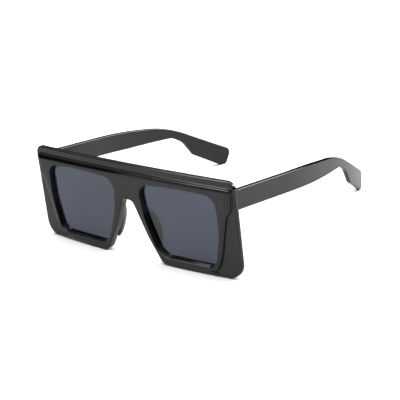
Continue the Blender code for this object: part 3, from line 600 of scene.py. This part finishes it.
def lens_mesh(name, side):
    """The mouth grown into its groove, divided at its four corners, and bent by the wrap."""
    arcs = filleted(mouth_corners())
    outline = np.concatenate(arcs)
    outline += left_normals(outline, closed=True) * (groove_depth - mouth_draft - groove_gap)
    middle = (groove_front + groove_back) / 2

    def place(points):
        x, z, height = points.T
        return np.stack([side * x, middle + wrap_at(x) + height, z], -1)

    thickness = groove_back - groove_front - 2 * groove_gap
    cuts = corner_middles(arcs, (0, 2, 4, 5))
    return slab(name, outline, cuts, lens_counts, thickness, lens_edge_radius, place)


# Temples

temple_front_y = front_thickness + wrap_at(temple_outer_x) + seat_gap
temple_length = overall_depth - temple_front_y


def bend_at(y):
    """How far a temple has curved inwards: the start of a large circle."""
    run = np.maximum(0.0, y - temple_front_y - bend_start_share * temple_length)
    return run * run / (2 * temple_bend_radius)


def temple_mesh(name, side):
    """Side view with filleted bends, divided at its four outer corners, then curved inwards."""
    def at(corner):
        share, z, radius = corner
        return (temple_front_y + share * temple_length, z, radius)

    corners = [*map(at, temple_top_corners), *paddle_corners, *map(at, temple_foot_corners)]
    arcs = filleted(corners)
    outline = np.clip(np.concatenate(arcs), (0.0, 0.0), (overall_depth, front_height))
    middle_x = temple_outer_x - temple_thickness / 2

    def place(points):
        y, z, height = points.T
        return np.stack([side * (middle_x + height - bend_at(y)), y, z], -1)

    cuts = corner_middles(arcs, (0, 3, 4, 9))
    return slab(name, outline, cuts, temple_counts, temple_thickness, temple_edge_radius, place)


# Nose pads

def pad_mesh(name, side):
    """An ellipsoid turned by its splay and its lean, with a flat seat on the side of the lens.

    On the side of the nose it reaches forward into the rim, by a share s that eases in
    round it.  The distance d of a point behind the seat becomes s d + (1 - s) e, where e is
    half the sum of d and the root of d squared and the edge radius squared.  What lies in
    front of the seat leans outwards, into the rim, in proportion to how far it reaches.
    """
    height = np.linspace(0.0, math.pi, pad_rings)
    angle = np.linspace(0.0, 2 * math.pi, pad_sides + 1)
    ball = turned_rows(np.sin(height), np.cos(height), pad_sides)
    turn = Matrix.Rotation(-side * pad_lean, 3, "Y") @ Matrix.Rotation(-side * pad_splay, 3, "Z")
    seat_y = front_thickness + wrap_at(pad_x) + seat_gap
    points = (ball * pad_half_sizes) @ np.array(turn).T + (side * pad_x, seat_y, pad_z)
    share = smooth(pad_reach_turn - side * np.cos(angle)) * pad_reach_share
    behind = points[..., 1] - seat_y
    held = (behind + np.hypot(behind, pad_edge_radius)) / 2
    behind = share * behind + (1 - share) * held
    points[..., 0] += side * pad_reach_lean * (np.hypot(behind, pad_reach_ease) - behind) / 2
    points[..., 1] = seat_y + behind
    return placed(welded(name, points.reshape(-1, 3), quads(numbered(points))))


# Pockets for the hinges

def added(name, data):
    """A new object in the scene."""
    thing = bpy.data.objects.new(name, data)
    bpy.context.scene.collection.objects.link(thing)
    return thing


def meshed(name, work):
    """A new mesh from a bmesh."""
    mesh = bpy.data.meshes.new(name)
    work.to_mesh(mesh)
    work.free()
    return mesh


def box_cutter(low, high):
    """A block between two corners, for cutting."""
    low, high = np.minimum(low, high), np.maximum(low, high)
    block = bmesh.new()
    size = Matrix.Diagonal((*(high - low), 1.0))
    matrix = Matrix.Translation((low + high) / 2) @ size
    bmesh.ops.create_cube(block, size=1.0, matrix=matrix)
    return meshed("block_cutter", block)


def round_cutter(start, end, radius):
    """A cylinder between two points, for cutting."""
    axis = Vector(end) - Vector(start)
    turn = axis.to_track_quat("Z", "Y").to_matrix().to_4x4()
    rod = bmesh.new()
    bmesh.ops.create_cone(
        rod,
        cap_ends=True,
        segments=cutter_sides,
        radius1=radius,
        radius2=radius,
        depth=axis.length,
        matrix=Matrix.Translation((Vector(start) + Vector(end)) / 2) @ turn,
    )
    return meshed("round_cutter", rod)


def cut(mesh, tools):
    """The mesh with each tool's space taken out of it."""
    body = added(mesh.name, mesh)
    blades = [added(tool.name, tool) for tool in tools]
    for blade in blades:
        modifier = body.modifiers.new("cut", "BOOLEAN")
        modifier.operation = "DIFFERENCE"
        modifier.solver = "EXACT"
        modifier.object = blade
    evaluated = body.evaluated_get(bpy.context.evaluated_depsgraph_get())
    result = bpy.data.meshes.new_from_object(evaluated)
    for thing in [body, *blades]:
        bpy.data.objects.remove(thing, do_unlink=True)
    return result


def corners_of(node):
    """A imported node's lowest and highest corners."""
    return tuple(np.array(corner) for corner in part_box(node))


pivots = {joint["name"].split("_")[0]: np.array(joint["pos_m"]) for joint in frame["joints"]}


def pivot_relief(side_name):
    """Room for the barrel and the screw's head, round the hinge's axis."""
    low, high = corners_of(f"{side_name}_front_hinge_leaf")
    screw_top = corners_of(f"{side_name}_hinge_screw")[1][2]
    x, y, _ = pivots[side_name]
    radius = high[1] - y + seat_gap
    return round_cutter((x, y, low[2] - seat_gap), (x, y, screw_top + seat_gap), radius)


def front_cutters():
    """Pockets for the front hinge leaves and room round both pivots."""
    tools = []
    for side_name, side in sides.items():
        low, high = corners_of(f"{side_name}_front_hinge_leaf")
        inner_x = min(low[0] * side, high[0] * side) - seat_gap
        start = (side * inner_x, low[1] - seat_gap, low[2] - seat_gap)
        end = (pivots[side_name][0], low[1] + 2 * overrun, high[2] + seat_gap)
        tools += [box_cutter(start, end), pivot_relief(side_name)]
    return tools


def merged_copy(node):
    """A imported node's mesh as a bmesh, its loose triangles merged; the node stays as it is."""
    weld = bmesh.new()
    weld.from_mesh(frame["nodes"][node].data)
    bmesh.ops.remove_doubles(weld, verts=weld.verts, dist=fine_merge_distance)
    return weld


def bore_cutter(side_name):
    """The core wire grown by its gap, with its front end drawn out through the temple's end."""
    mesh = meshed("bore_cutter", merged_copy(f"{side_name}_core_wire"))
    places = np.array([vertex.co for vertex in mesh.vertices])
    normals = np.array([normal.vector for normal in mesh.vertex_normals])
    start_y = places[:, 1].min()
    at_front = places[:, 1] < start_y + wire_end_reach
    places += normals * wire_gap
    places[at_front, 1] = start_y - 2 * overrun
    mesh.vertices.foreach_set("co", places.ravel())
    return mesh


def temple_cutters(side_name, side):
    """A pocket for the temple's hinge leaf, room round its pivot and the core wire's bore."""
    low, high = corners_of(f"{side_name}_temple_hinge_leaf")
    outer_x = max(low[0] * side, high[0] * side) + seat_gap
    inner_x = abs(pivots[side_name][0])
    start = (side * inner_x, pivots[side_name][1], low[2] - seat_gap)
    end = (side * outer_x, high[1] + seat_gap, high[2] + seat_gap)
    return [box_cutter(start, end), pivot_relief(side_name), bore_cutter(side_name)]


# Hinges and screws

def leaf_mesh(name, node):
    """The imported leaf's flat faces made whole, and every sharp edge bevelled."""
    leaf = merged_copy(node)
    edges, points = leaf.edges, leaf.verts
    bmesh.ops.dissolve_limit(leaf, angle_limit=leaf_flat_angle, verts=points, edges=edges)
    sharp = [edge for edge in leaf.edges if edge.calc_face_angle(0.0) > leaf_edge_angle]
    bmesh.ops.bevel(
        leaf,
        geom=sharp,
        offset=leaf_edge_bevel,
        offset_type="OFFSET",
        segments=leaf_bevel_steps,
        profile=0.5,
        affect="EDGES",
        clamp_overlap=True,
    )
    bmesh.ops.triangulate(leaf, faces=leaf.faces)
    return meshed(name, leaf)


def screw_mesh(name, node, profile, place, direction, slot_turn):
    """A profile of (radius, depth) turned round the screw's axis, with a slot across its head.

    The mesh keeps each point's distance from the axis, for the rings of the turned steel.
    """
    low, high = corners_of(node)
    direction = np.array(direction, float)
    length = abs((high - low) @ direction)
    shank = profile[-1][0] * mm
    radii = [radius * mm for radius, _ in profile] + [shank, shank - screw_end_chamfer, 0.0]
    depths = [depth * mm for _, depth in profile] + [length - screw_end_chamfer, length, length]
    rows = turned_rows(radii, -np.array(depths), screw_sides)
    turn = (-Vector(direction)).to_track_quat("Z", "Y").to_matrix()
    points = rows.reshape(-1, 3) @ np.array(turn).T + place
    body = welded(name, points, quads(numbered(rows)))
    size = np.array((slot_length, slot_width, 2 * slot_depth))
    slot = box_cutter(-size / 2, size / 2)
    slot.transform(Matrix.Translation(place) @ turn.to_4x4() @ Matrix.Rotation(slot_turn, 4, "Z"))
    result = cut(body, [slot])
    away = np.array([vertex.co for vertex in result.vertices]) - place
    away -= np.outer(away @ direction, direction)
    kept = result.attributes.new("from_axis", "FLOAT", "POINT")
    kept.data.foreach_set("value", np.linalg.norm(away, axis=1))
    return result


# Levels of the shared effects; a scale is a number of patches to the metre

scratch_turns = ((0.3, 0.2, 0.4), (1.1, 0.7, -0.6), (-0.5, 1.9, 1.3))
scratch_stretch = (70.0, 7000.0, 7000.0)
scratch_fade = 0.06
scratch_patch_scale = 45.0
scratch_patch_range = (0.42, 0.62)
film_detail, film_twist = 4.0, 1.4
film_range = (0.45, 0.75)
dust_facing_range = (0.2, 1.0)
wear_patch_range = (0.3, 0.7)
tool_line_range = (0.35, 0.65)
tool_line_detail = 2.0

# Finishes: a share mixes in a colour, a mark's roughness is what it adds.  A finish gives
# its colour or dark and pale tones, its clean and smudged roughness, and its ripple or lines
plastic_ior = 1.45
plastic_scratch_threshold = 0.69
plastic_film_scale = 55.0
plastic_dust_scale = 650.0
tone_scale = 35.0
tone_range = (0.35, 0.65)
tone_deep, tone_pale = 0.75, 1.3
rubbed_black, rubbed_share = (0.012, 0.012, 0.013), 0.6
dust_grey, dust_share = (0.20, 0.19, 0.18), 0.5
scratch_roughness, rubbed_roughness, dust_roughness = 0.10, 0.05, 0.4
ripple_scale = 600.0
scratch_height = -0.25
shell_ripple, pad_ripple = 0.0005 * mm, 0.0008 * mm
front_finish = ((0.003, 0.003, 0.0033), (0.06, 0.10), shell_ripple)
temple_finish = ((0.004, 0.004, 0.0043), (0.07, 0.12), shell_ripple)
pad_finish = ((0.006, 0.006, 0.0065), (0.14, 0.20), pad_ripple)

lens_ior = 1.5
lens_top, lens_top_z = (0.045, 0.056, 0.085), 48 * mm
lens_foot, lens_foot_z = (0.042, 0.054, 0.082), 5 * mm
lens_film, lens_film_share, lens_film_scale = (0.05, 0.055, 0.07), 0.10, 45.0
lens_roughness = (0.02, 0.06)
lens_scratch_threshold, lens_scratch_roughness = 0.74, 0.05
lens_ripple, lens_ripple_scale = 0.002 * mm, 120.0

worked_wear = {"Start": 0.52, "Full": 0.60, "Scale": 4000.0}
worked_film_scale = 900.0
worked_edge = (0.75, 0.75, 0.76)
line_roughness, worn_roughness = 0.08, -0.08
brushed_lines = {"Across": 300.0, "Along": 300.0, "Up": 9000.0}
brushed_finish = (((0.46, 0.46, 0.47), (0.60, 0.60, 0.61)), (0.22, 0.34), brushed_lines)
drawn_lines = {"Across": 9000.0, "Along": 60.0, "Up": 9000.0}
drawn_finish = (((0.50, 0.48, 0.45), (0.64, 0.62, 0.59)), (0.26, 0.38), drawn_lines)
line_depth = 0.004 * mm
turned_wear = {"Start": 0.52, "Full": 0.60, "Scale": 6000.0}
turned_film_scale = 1500.0
turned_edge = (0.78, 0.78, 0.79)
turned_tones = ((0.54, 0.54, 0.55), (0.66, 0.66, 0.67))
turned_roughness = (0.16, 0.26)
ring_roughness = 0.06
ring_depth = 0.001 * mm
ring_turns = 2 * math.pi / (0.09 * mm)


# Shared effects

def add_node(tree, kind, inputs, **settings):
    """A node with its settings; each input is fed by a socket or set to a plain value."""
    node = tree.nodes.new(f"ShaderNode{kind}")
    for setting, value in settings.items():
        setattr(node, setting, value)
    for socket, value in inputs.items():
        if isinstance(value, bpy.types.NodeSocket):
            tree.links.new(value, node.inputs[socket])
        else:
            node.inputs[socket].default_value = value
    return node


def calculated(tree, operation, *values):
    """The result of a Math node on sockets or numbers."""
    return add_node(tree, "Math", dict(enumerate(values)), operation=operation).outputs[0]


def multiplied(tree, vector, factors):
    """A vector times another, axis by axis."""
    return add_node(tree, "VectorMath", {0: vector, 1: factors}, operation="MULTIPLY").outputs[0]


def remapped(tree, value, low, high, to_low=0.0, to_high=1.0):
    """A value eased from one range to another."""
    names = ("Value", "From Min", "From Max", "To Min", "To Max")
    ranges = dict(zip(names, (value, low, high, to_low, to_high)))
    return add_node(tree, "MapRange", ranges, interpolation_type="SMOOTHSTEP").outputs[0]


def blended(tree, share, first, last):
    """A colour between two, from a Mix node whose colour sockets are 6 and 7, and 2 outside."""
    colours = {
        number: colour if isinstance(colour, bpy.types.NodeSocket) else (*colour, 1.0)
        for number, colour in ((6, first), (7, last))
    }
    return add_node(tree, "Mix", {0: share} | colours, data_type="RGBA").outputs[2]


def cloud(tree, place, scale, detail=3.0, distortion=0.0):
    """Smooth noise at a number of patches to the metre."""
    inputs = {"Vector": place, "Scale": scale, "Detail": detail, "Distortion": distortion}
    return add_node(tree, "TexNoise", inputs).outputs["Fac"]


def fine_scratches(tree, place, given):
    """Hair lines in three directions: noise stretched along each, cut to its peaks, in patches."""
    line = 0.0
    full = calculated(tree, "ADD", given["Threshold"], scratch_fade)
    for turn in scratch_turns:
        directions = {"Vector": place, "Rotation": turn}
        turned = add_node(tree, "VectorRotate", directions, rotation_type="EULER_XYZ").outputs[0]
        noise = cloud(tree, multiplied(tree, turned, scratch_stretch), 1.0, 0.0)
        line = calculated(tree, "MAXIMUM", line, remapped(tree, noise, given["Threshold"], full))
    patches = remapped(tree, cloud(tree, place, scratch_patch_scale), *scratch_patch_range)
    return {"Scratches": calculated(tree, "MULTIPLY", line, patches)}


def handling_marks(tree, place, given):
    """Finger film: twisted clouds that take the roughness from clean to smudged."""
    noise = cloud(tree, place, given["Scale"], film_detail, film_twist)
    film = remapped(tree, noise, *film_range)
    mix = add_node(tree, "Mix", {"Factor": film, "A": given["Clean"], "B": given["Smudged"]})
    return {"Film": film, "Roughness": mix.outputs["Result"]}


def dust_specks(tree, place, given):
    """Specks at the middles of some cells, and only where the surface faces up."""
    cells = add_node(tree, "TexVoronoi", {"Vector": place, "Scale": given["Scale"]}).outputs
    near = remapped(tree, cells["Distance"], 0.0, given["Size"], 1.0, 0.0)
    kept = calculated(tree, "GREATER_THAN", cells["Color"], given["Empty Share"])
    normal = add_node(tree, "NewGeometry", {}).outputs["Normal"]
    facing = add_node(tree, "SeparateXYZ", {0: normal}).outputs["Z"]
    upward = remapped(tree, facing, *dust_facing_range)
    specks = calculated(tree, "MULTIPLY", near, kept)
    return {"Dust": calculated(tree, "MULTIPLY", specks, upward)}


def edge_wear(tree, place, given):
    """Rubbed edges: where the surface is convex, broken up by small clouds."""
    curved = add_node(tree, "NewGeometry", {}).outputs["Pointiness"]
    edge = remapped(tree, curved, given["Start"], given["Full"])
    broken = remapped(tree, cloud(tree, place, given["Scale"]), *wear_patch_range)
    return {"Edge": calculated(tree, "MULTIPLY", edge, broken)}


def tool_lines(tree, place, given):
    """Lines left by a tool: noise stretched by each axis's own number of lines to the metre."""
    axes = {0: given["Across"], 1: given["Along"], 2: given["Up"]}
    counts = add_node(tree, "CombineXYZ", axes).outputs[0]
    noise = cloud(tree, multiplied(tree, place, counts), 1.0, tool_line_detail)
    return {"Lines": remapped(tree, noise, *tool_line_range), "Height": noise}


def shared_effect(build, levels):
    """A shader group with a place and named levels as inputs, and what build makes as outputs."""
    tree = bpy.data.node_groups.new(build.__name__, "ShaderNodeTree")
    tree.interface.new_socket("Place", in_out="INPUT", socket_type="NodeSocketVector")
    for label, value in levels.items():
        socket = tree.interface.new_socket(label, in_out="INPUT", socket_type="NodeSocketFloat")
        socket.default_value = value
    given = tree.nodes.new("NodeGroupInput").outputs
    made = build(tree, given["Place"], given)
    for label in made:
        tree.interface.new_socket(label, in_out="OUTPUT", socket_type="NodeSocketFloat")
    result = tree.nodes.new("NodeGroupOutput").inputs
    for label, value in made.items():
        tree.links.new(value, result[label])
    return tree


effects = {
    build.__name__: shared_effect(build, levels)
    for build, levels in (
        (fine_scratches, {"Threshold": 0.70}),
        (handling_marks, {"Clean": 0.1, "Smudged": 0.2, "Scale": 60.0}),
        (dust_specks, {"Scale": 700.0, "Size": 0.09, "Empty Share": 0.8}),
        (edge_wear, {"Start": 0.53, "Full": 0.62, "Scale": 900.0}),
        (tool_lines, {"Across": 200.0, "Along": 6000.0, "Up": 6000.0}),
    )
}


def use(tree, name, place, levels):
    """Place a shared effect in a material with its own levels; gives its outputs."""
    return add_node(tree, "Group", {"Place": place} | levels, node_tree=effects[name]).outputs


def film_on(tree, place, roughness, scale):
    """Finger film that takes the roughness between two values."""
    clean, smudged = roughness
    levels = {"Clean": clean, "Smudged": smudged, "Scale": scale}
    return use(tree, "handling_marks", place, levels)


# Materials

def new_material(name, **values):
    """A new material, its nodes, its shader with plain values, and its object coordinates."""
    material = bpy.data.materials.new(name)
    material.use_nodes = True
    tree = material.node_tree
    shader = tree.nodes["Principled BSDF"]
    for label, value in values.items():
        shader.inputs[label.replace("_", " ")].default_value = value
    return material, tree, shader, tree.nodes.new("ShaderNodeTexCoord").outputs["Object"]


def finished(tree, shader, colour, roughness, marks, height, depth):
    """Feed the shader a colour, a roughness with each mark's share added, and a bumped normal."""
    for mark, share in marks:
        roughness = calculated(tree, "MULTIPLY_ADD", mark, share, roughness)
    bump = add_node(tree, "Bump", {"Height": height, "Distance": depth, "Strength": 1.0})
    tree.links.new(colour, shader.inputs["Base Color"])
    tree.links.new(roughness, shader.inputs["Roughness"])
    tree.links.new(bump.outputs["Normal"], shader.inputs["Normal"])


def polished_plastic(name, colour, roughness, ripple):
    """Polished black plastic: soft ripples, hair scratches, finger film, rubbed edges, dust."""
    material, tree, shader, place = new_material(name, IOR=plastic_ior)
    threshold = {"Threshold": plastic_scratch_threshold}
    scratches = use(tree, "fine_scratches", place, threshold)["Scratches"]
    film = film_on(tree, place, roughness, plastic_film_scale)["Roughness"]
    dust = use(tree, "dust_specks", place, {"Scale": plastic_dust_scale})["Dust"]
    edge = use(tree, "edge_wear", place, {})["Edge"]
    deep = tuple(part * tone_deep for part in colour)
    pale = tuple(part * tone_pale for part in colour)
    tone = remapped(tree, cloud(tree, place, tone_scale), *tone_range)
    base = blended(tree, tone, deep, pale)
    base = blended(tree, calculated(tree, "MULTIPLY", edge, rubbed_share), base, rubbed_black)
    base = blended(tree, calculated(tree, "MULTIPLY", dust, dust_share), base, dust_grey)
    marks = ((scratches, scratch_roughness), (edge, rubbed_roughness), (dust, dust_roughness))
    ripples = cloud(tree, place, ripple_scale, 1.0)
    height = calculated(tree, "MULTIPLY_ADD", scratches, scratch_height, ripples)
    finished(tree, shader, base, film, marks, height, ripple)
    return material


def tinted_lens(name):
    """Tinted lens: the tint eases from top to foot, with finger film and a few hair lines."""
    glass = {"IOR": lens_ior, "Transmission_Weight": 1.0}
    material, tree, shader, place = new_material(name, **glass)
    height = add_node(tree, "SeparateXYZ", {0: place}).outputs["Z"]
    tint = blended(tree, remapped(tree, height, lens_foot_z, lens_top_z), lens_foot, lens_top)
    film = film_on(tree, place, lens_roughness, lens_film_scale)
    threshold = {"Threshold": lens_scratch_threshold}
    scratches = use(tree, "fine_scratches", place, threshold)["Scratches"]
    share = calculated(tree, "MULTIPLY", film["Film"], lens_film_share)
    dulled = blended(tree, share, tint, lens_film)
    marks = ((scratches, lens_scratch_roughness),)
    ripples = cloud(tree, place, lens_ripple_scale, 1.0)
    finished(tree, shader, dulled, film["Roughness"], marks, ripples, lens_ripple)
    return material


def worked_steel(name, tones, roughness, lines):
    """Steel with tool lines: their tone, roughness and height, with polished worn edges."""
    material, tree, shader, place = new_material(name, Metallic=1.0)
    tooled = use(tree, "tool_lines", place, lines)
    film = film_on(tree, place, roughness, worked_film_scale)["Roughness"]
    edge = use(tree, "edge_wear", place, worked_wear)["Edge"]
    base = blended(tree, edge, blended(tree, tooled["Lines"], *tones), worked_edge)
    marks = ((tooled["Lines"], line_roughness), (edge, worn_roughness))
    finished(tree, shader, base, film, marks, tooled["Height"], line_depth)
    return material


def turned_steel(name):
    """Turned steel: rings round the screw's axis, from the distance kept on the mesh."""
    material, tree, shader, place = new_material(name, Metallic=1.0)
    distance = add_node(tree, "Attribute", {}, attribute_name="from_axis").outputs["Fac"]
    wave = calculated(tree, "SINE", calculated(tree, "MULTIPLY", distance, ring_turns))
    ring = remapped(tree, wave, -1.0, 1.0)
    film = film_on(tree, place, turned_roughness, turned_film_scale)["Roughness"]
    edge = use(tree, "edge_wear", place, turned_wear)["Edge"]
    base = blended(tree, edge, blended(tree, ring, *turned_tones), turned_edge)
    finished(tree, shader, base, film, ((ring, ring_roughness),), ring, ring_depth)
    return material


front_black = polished_plastic("polished_black_front", *front_finish)
temple_black = polished_plastic("polished_black_temple", *temple_finish)
pad_black = polished_plastic("polished_black_pad", *pad_finish)
smoke = tinted_lens("smoke_tinted_lens")
leaf_steel = worked_steel("brushed_hinge_steel", *brushed_finish)
screw_steel = turned_steel("turned_screw_steel")
wire_steel = worked_steel("drawn_wire_steel", *drawn_finish)


# Pieces

def show(name, mesh, material, body, slot, *nodes):
    """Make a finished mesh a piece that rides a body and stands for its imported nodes."""
    mesh.name = name
    mesh.materials.clear()
    mesh.materials.append(material)
    mesh.shade_smooth()
    mesh.set_sharp_from_angle(angle=smooth_angle)
    piece = added(name, mesh)
    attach(piece, body)
    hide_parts(*nodes)


def show_screw(node, side, arm):
    """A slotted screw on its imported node's axis, riding the body that holds it."""
    low, high = corners_of(node)
    place = (low + high) / 2
    if "hinge_screw" in node:
        profile, direction = hinge_screw_profile, (0.0, 0.0, -1.0)
        place[2] = high[2]
    elif "front_leaf" in node:
        profile, direction = leaf_screw_profile, (0.0, -1.0, 0.0)
        place[1] = high[1]
    else:
        profile, direction = leaf_screw_profile, (side, 0.0, 0.0)
        place[0] = low[0] if side > 0 else high[0]
    turn = slot_turns[node.split("_")[-1]] * side
    name = f"slotted_{node}"
    mesh = screw_mesh(name, node, profile, place, direction, turn)
    body = arm if "temple_leaf" in node else "front"
    show(name, mesh, screw_steel, body, "screw_steel", node)


front = cut(front_mesh(), front_cutters())
show("front_shell", front, front_black, "front", "front_plastic", "front_frame")
for side_name, side in sides.items():
    arm = f"{side_name}_temple_arm"
    lens = lens_mesh(f"{side_name}_tinted_lens", side)
    show(lens.name, lens, smoke, "front", "smoke_lens", f"{side_name}_lens")
    pad = pad_mesh(f"{side_name}_polished_pad", side)
    show(pad.name, pad, pad_black, "front", "pad_plastic", f"{side_name}_nose_pad")
    blade = cut(temple_mesh(f"{side_name}_blade", side), temple_cutters(side_name, side))
    show(f"{side_name}_blade", blade, temple_black, arm, "temple_plastic", f"{side_name}_temple")

for side_name, side in sides.items():
    arm = f"{side_name}_temple_arm"
    for which, body in (("front", "front"), ("temple", arm)):
        node = f"{side_name}_{which}_hinge_leaf"
        leaf = leaf_mesh(f"bevelled_{node}", node)
        show(leaf.name, leaf, leaf_steel, body, "hinge_steel", node)
    for node in frame["nodes"]:
        if node.startswith(side_name) and "screw" in node:
            show_screw(node, side, arm)
    wire = frame["nodes"][f"{side_name}_core_wire"]
    wire.data.materials.clear()
    wire.data.materials.append(wire_steel)


# Stage

ceiling_light = 5.0
ceiling_power = 4.0
room_light = 0.02
backdrop_light = 1.1
table_in_view = 0.95
table_in_gloss = 0.54
table_roughness = 0.6
table_low, table_high = (-0.30, -1.5), (1.5, 1.5)

# Softboxes: place, aim, size, power, and whether they light the table
softboxes = {
    "back_right_box": ((0.38, 0.48, 0.36), (0.05, 0.05, 0.0), (0.3, 0.3), 5.0, True),
    "front_left_box": ((-0.265, -0.51, 0.35), (0.05, 0.0, 0.05), (0.23, 0.31), 2.6, False),
    "front_left_fill": ((-0.265, -0.51, 0.06), (0.05, 0.0, 0.06), (0.23, 0.15), 0.07, False),
}

# The camera: azimuth, elevation and roll in degrees, and its place in the drawing
camera_angles = (43.1316, 20.8253, -6.637)
camera_place = (479.7 * mm, -453.4 * mm, 280.6 * mm)
camera_lens, camera_sensor, camera_clip = 114.52, 36.0, 0.01


def make_floor():
    """A plain pale table, a little darker in reflections than to the eye."""
    mesh = bpy.data.meshes.new("table")
    (left, front), (right, back) = table_low, table_high
    corners = [(left, front, 0.0), (right, front, 0.0), (right, back, 0.0), (left, back, 0.0)]
    mesh.from_pydata(corners, [], [(0, 1, 2, 3)])
    material, tree, shader, _ = new_material("white_table", Roughness=table_roughness)
    seen = add_node(tree, "LightPath", {}).outputs["Is Camera Ray"]
    paint = add_node(tree, "Mix", {"Factor": seen, "A": table_in_gloss, "B": table_in_view})
    tree.links.new(paint.outputs["Result"], shader.inputs["Base Color"])
    mesh.materials.append(material)
    added("table", mesh)


def make_light(name, place, aim, size, power, lights_table):
    """A softbox; one that doesn't light the table is seen in reflections alone."""
    data = bpy.data.lights.new(name, "AREA")
    data.shape = "RECTANGLE"
    data.size, data.size_y = size
    data.energy = power
    light = added(name, data)
    light.location = place
    light.visible_diffuse = lights_table
    light.rotation_euler = (Vector(aim) - Vector(place)).to_track_quat("-Z", "Y").to_euler()


def make_world():
    """A dark room with a bright ceiling: light grows as a power of a direction's height.

    The camera itself, and what it sees through a lens, meet a plain white backdrop.
    """
    world = bpy.data.worlds.new("studio")
    world.use_nodes = True
    tree = world.node_tree
    direction = add_node(tree, "TexCoord", {}).outputs["Generated"]
    height = add_node(tree, "SeparateXYZ", {0: direction}).outputs["Z"]
    height = calculated(tree, "MAXIMUM", height, 0.0)
    growth = calculated(tree, "POWER", height, ceiling_power)
    room = calculated(tree, "MULTIPLY_ADD", growth, ceiling_light, room_light)
    ray = add_node(tree, "LightPath", {}).outputs
    seen = calculated(tree, "MAXIMUM", ray["Is Camera Ray"], ray["Is Transmission Ray"])
    choice = add_node(tree, "Mix", {"Factor": seen, "A": room, "B": backdrop_light})
    background = tree.nodes["Background"]
    background.inputs["Color"].default_value = (1.0, 1.0, 1.0, 1.0)
    tree.links.new(choice.outputs["Result"], background.inputs["Strength"])
    bpy.context.scene.world = world


def make_camera():
    """The photograph's view, found from its outlines."""
    azimuth, elevation, roll = map(math.radians, camera_angles)
    data = bpy.data.cameras.new("view")
    data.sensor_width = camera_sensor
    data.lens = camera_lens
    data.clip_start = camera_clip
    camera = added("view", data)
    place = Vector(camera_place) - Vector((0.0, overall_depth / 2, 0.0))
    tilt = Matrix.Rotation(math.pi / 2 - elevation, 4, "X") @ Matrix.Rotation(roll, 4, "Z")
    camera.matrix_world = Matrix.Translation(place) @ Matrix.Rotation(azimuth, 4, "Z") @ tilt
    bpy.context.scene.camera = camera


make_floor()
make_world()
for name, settings in softboxes.items():
    make_light(name, *settings)
make_camera()
bpy.context.scene.view_settings.view_transform = "Standard"
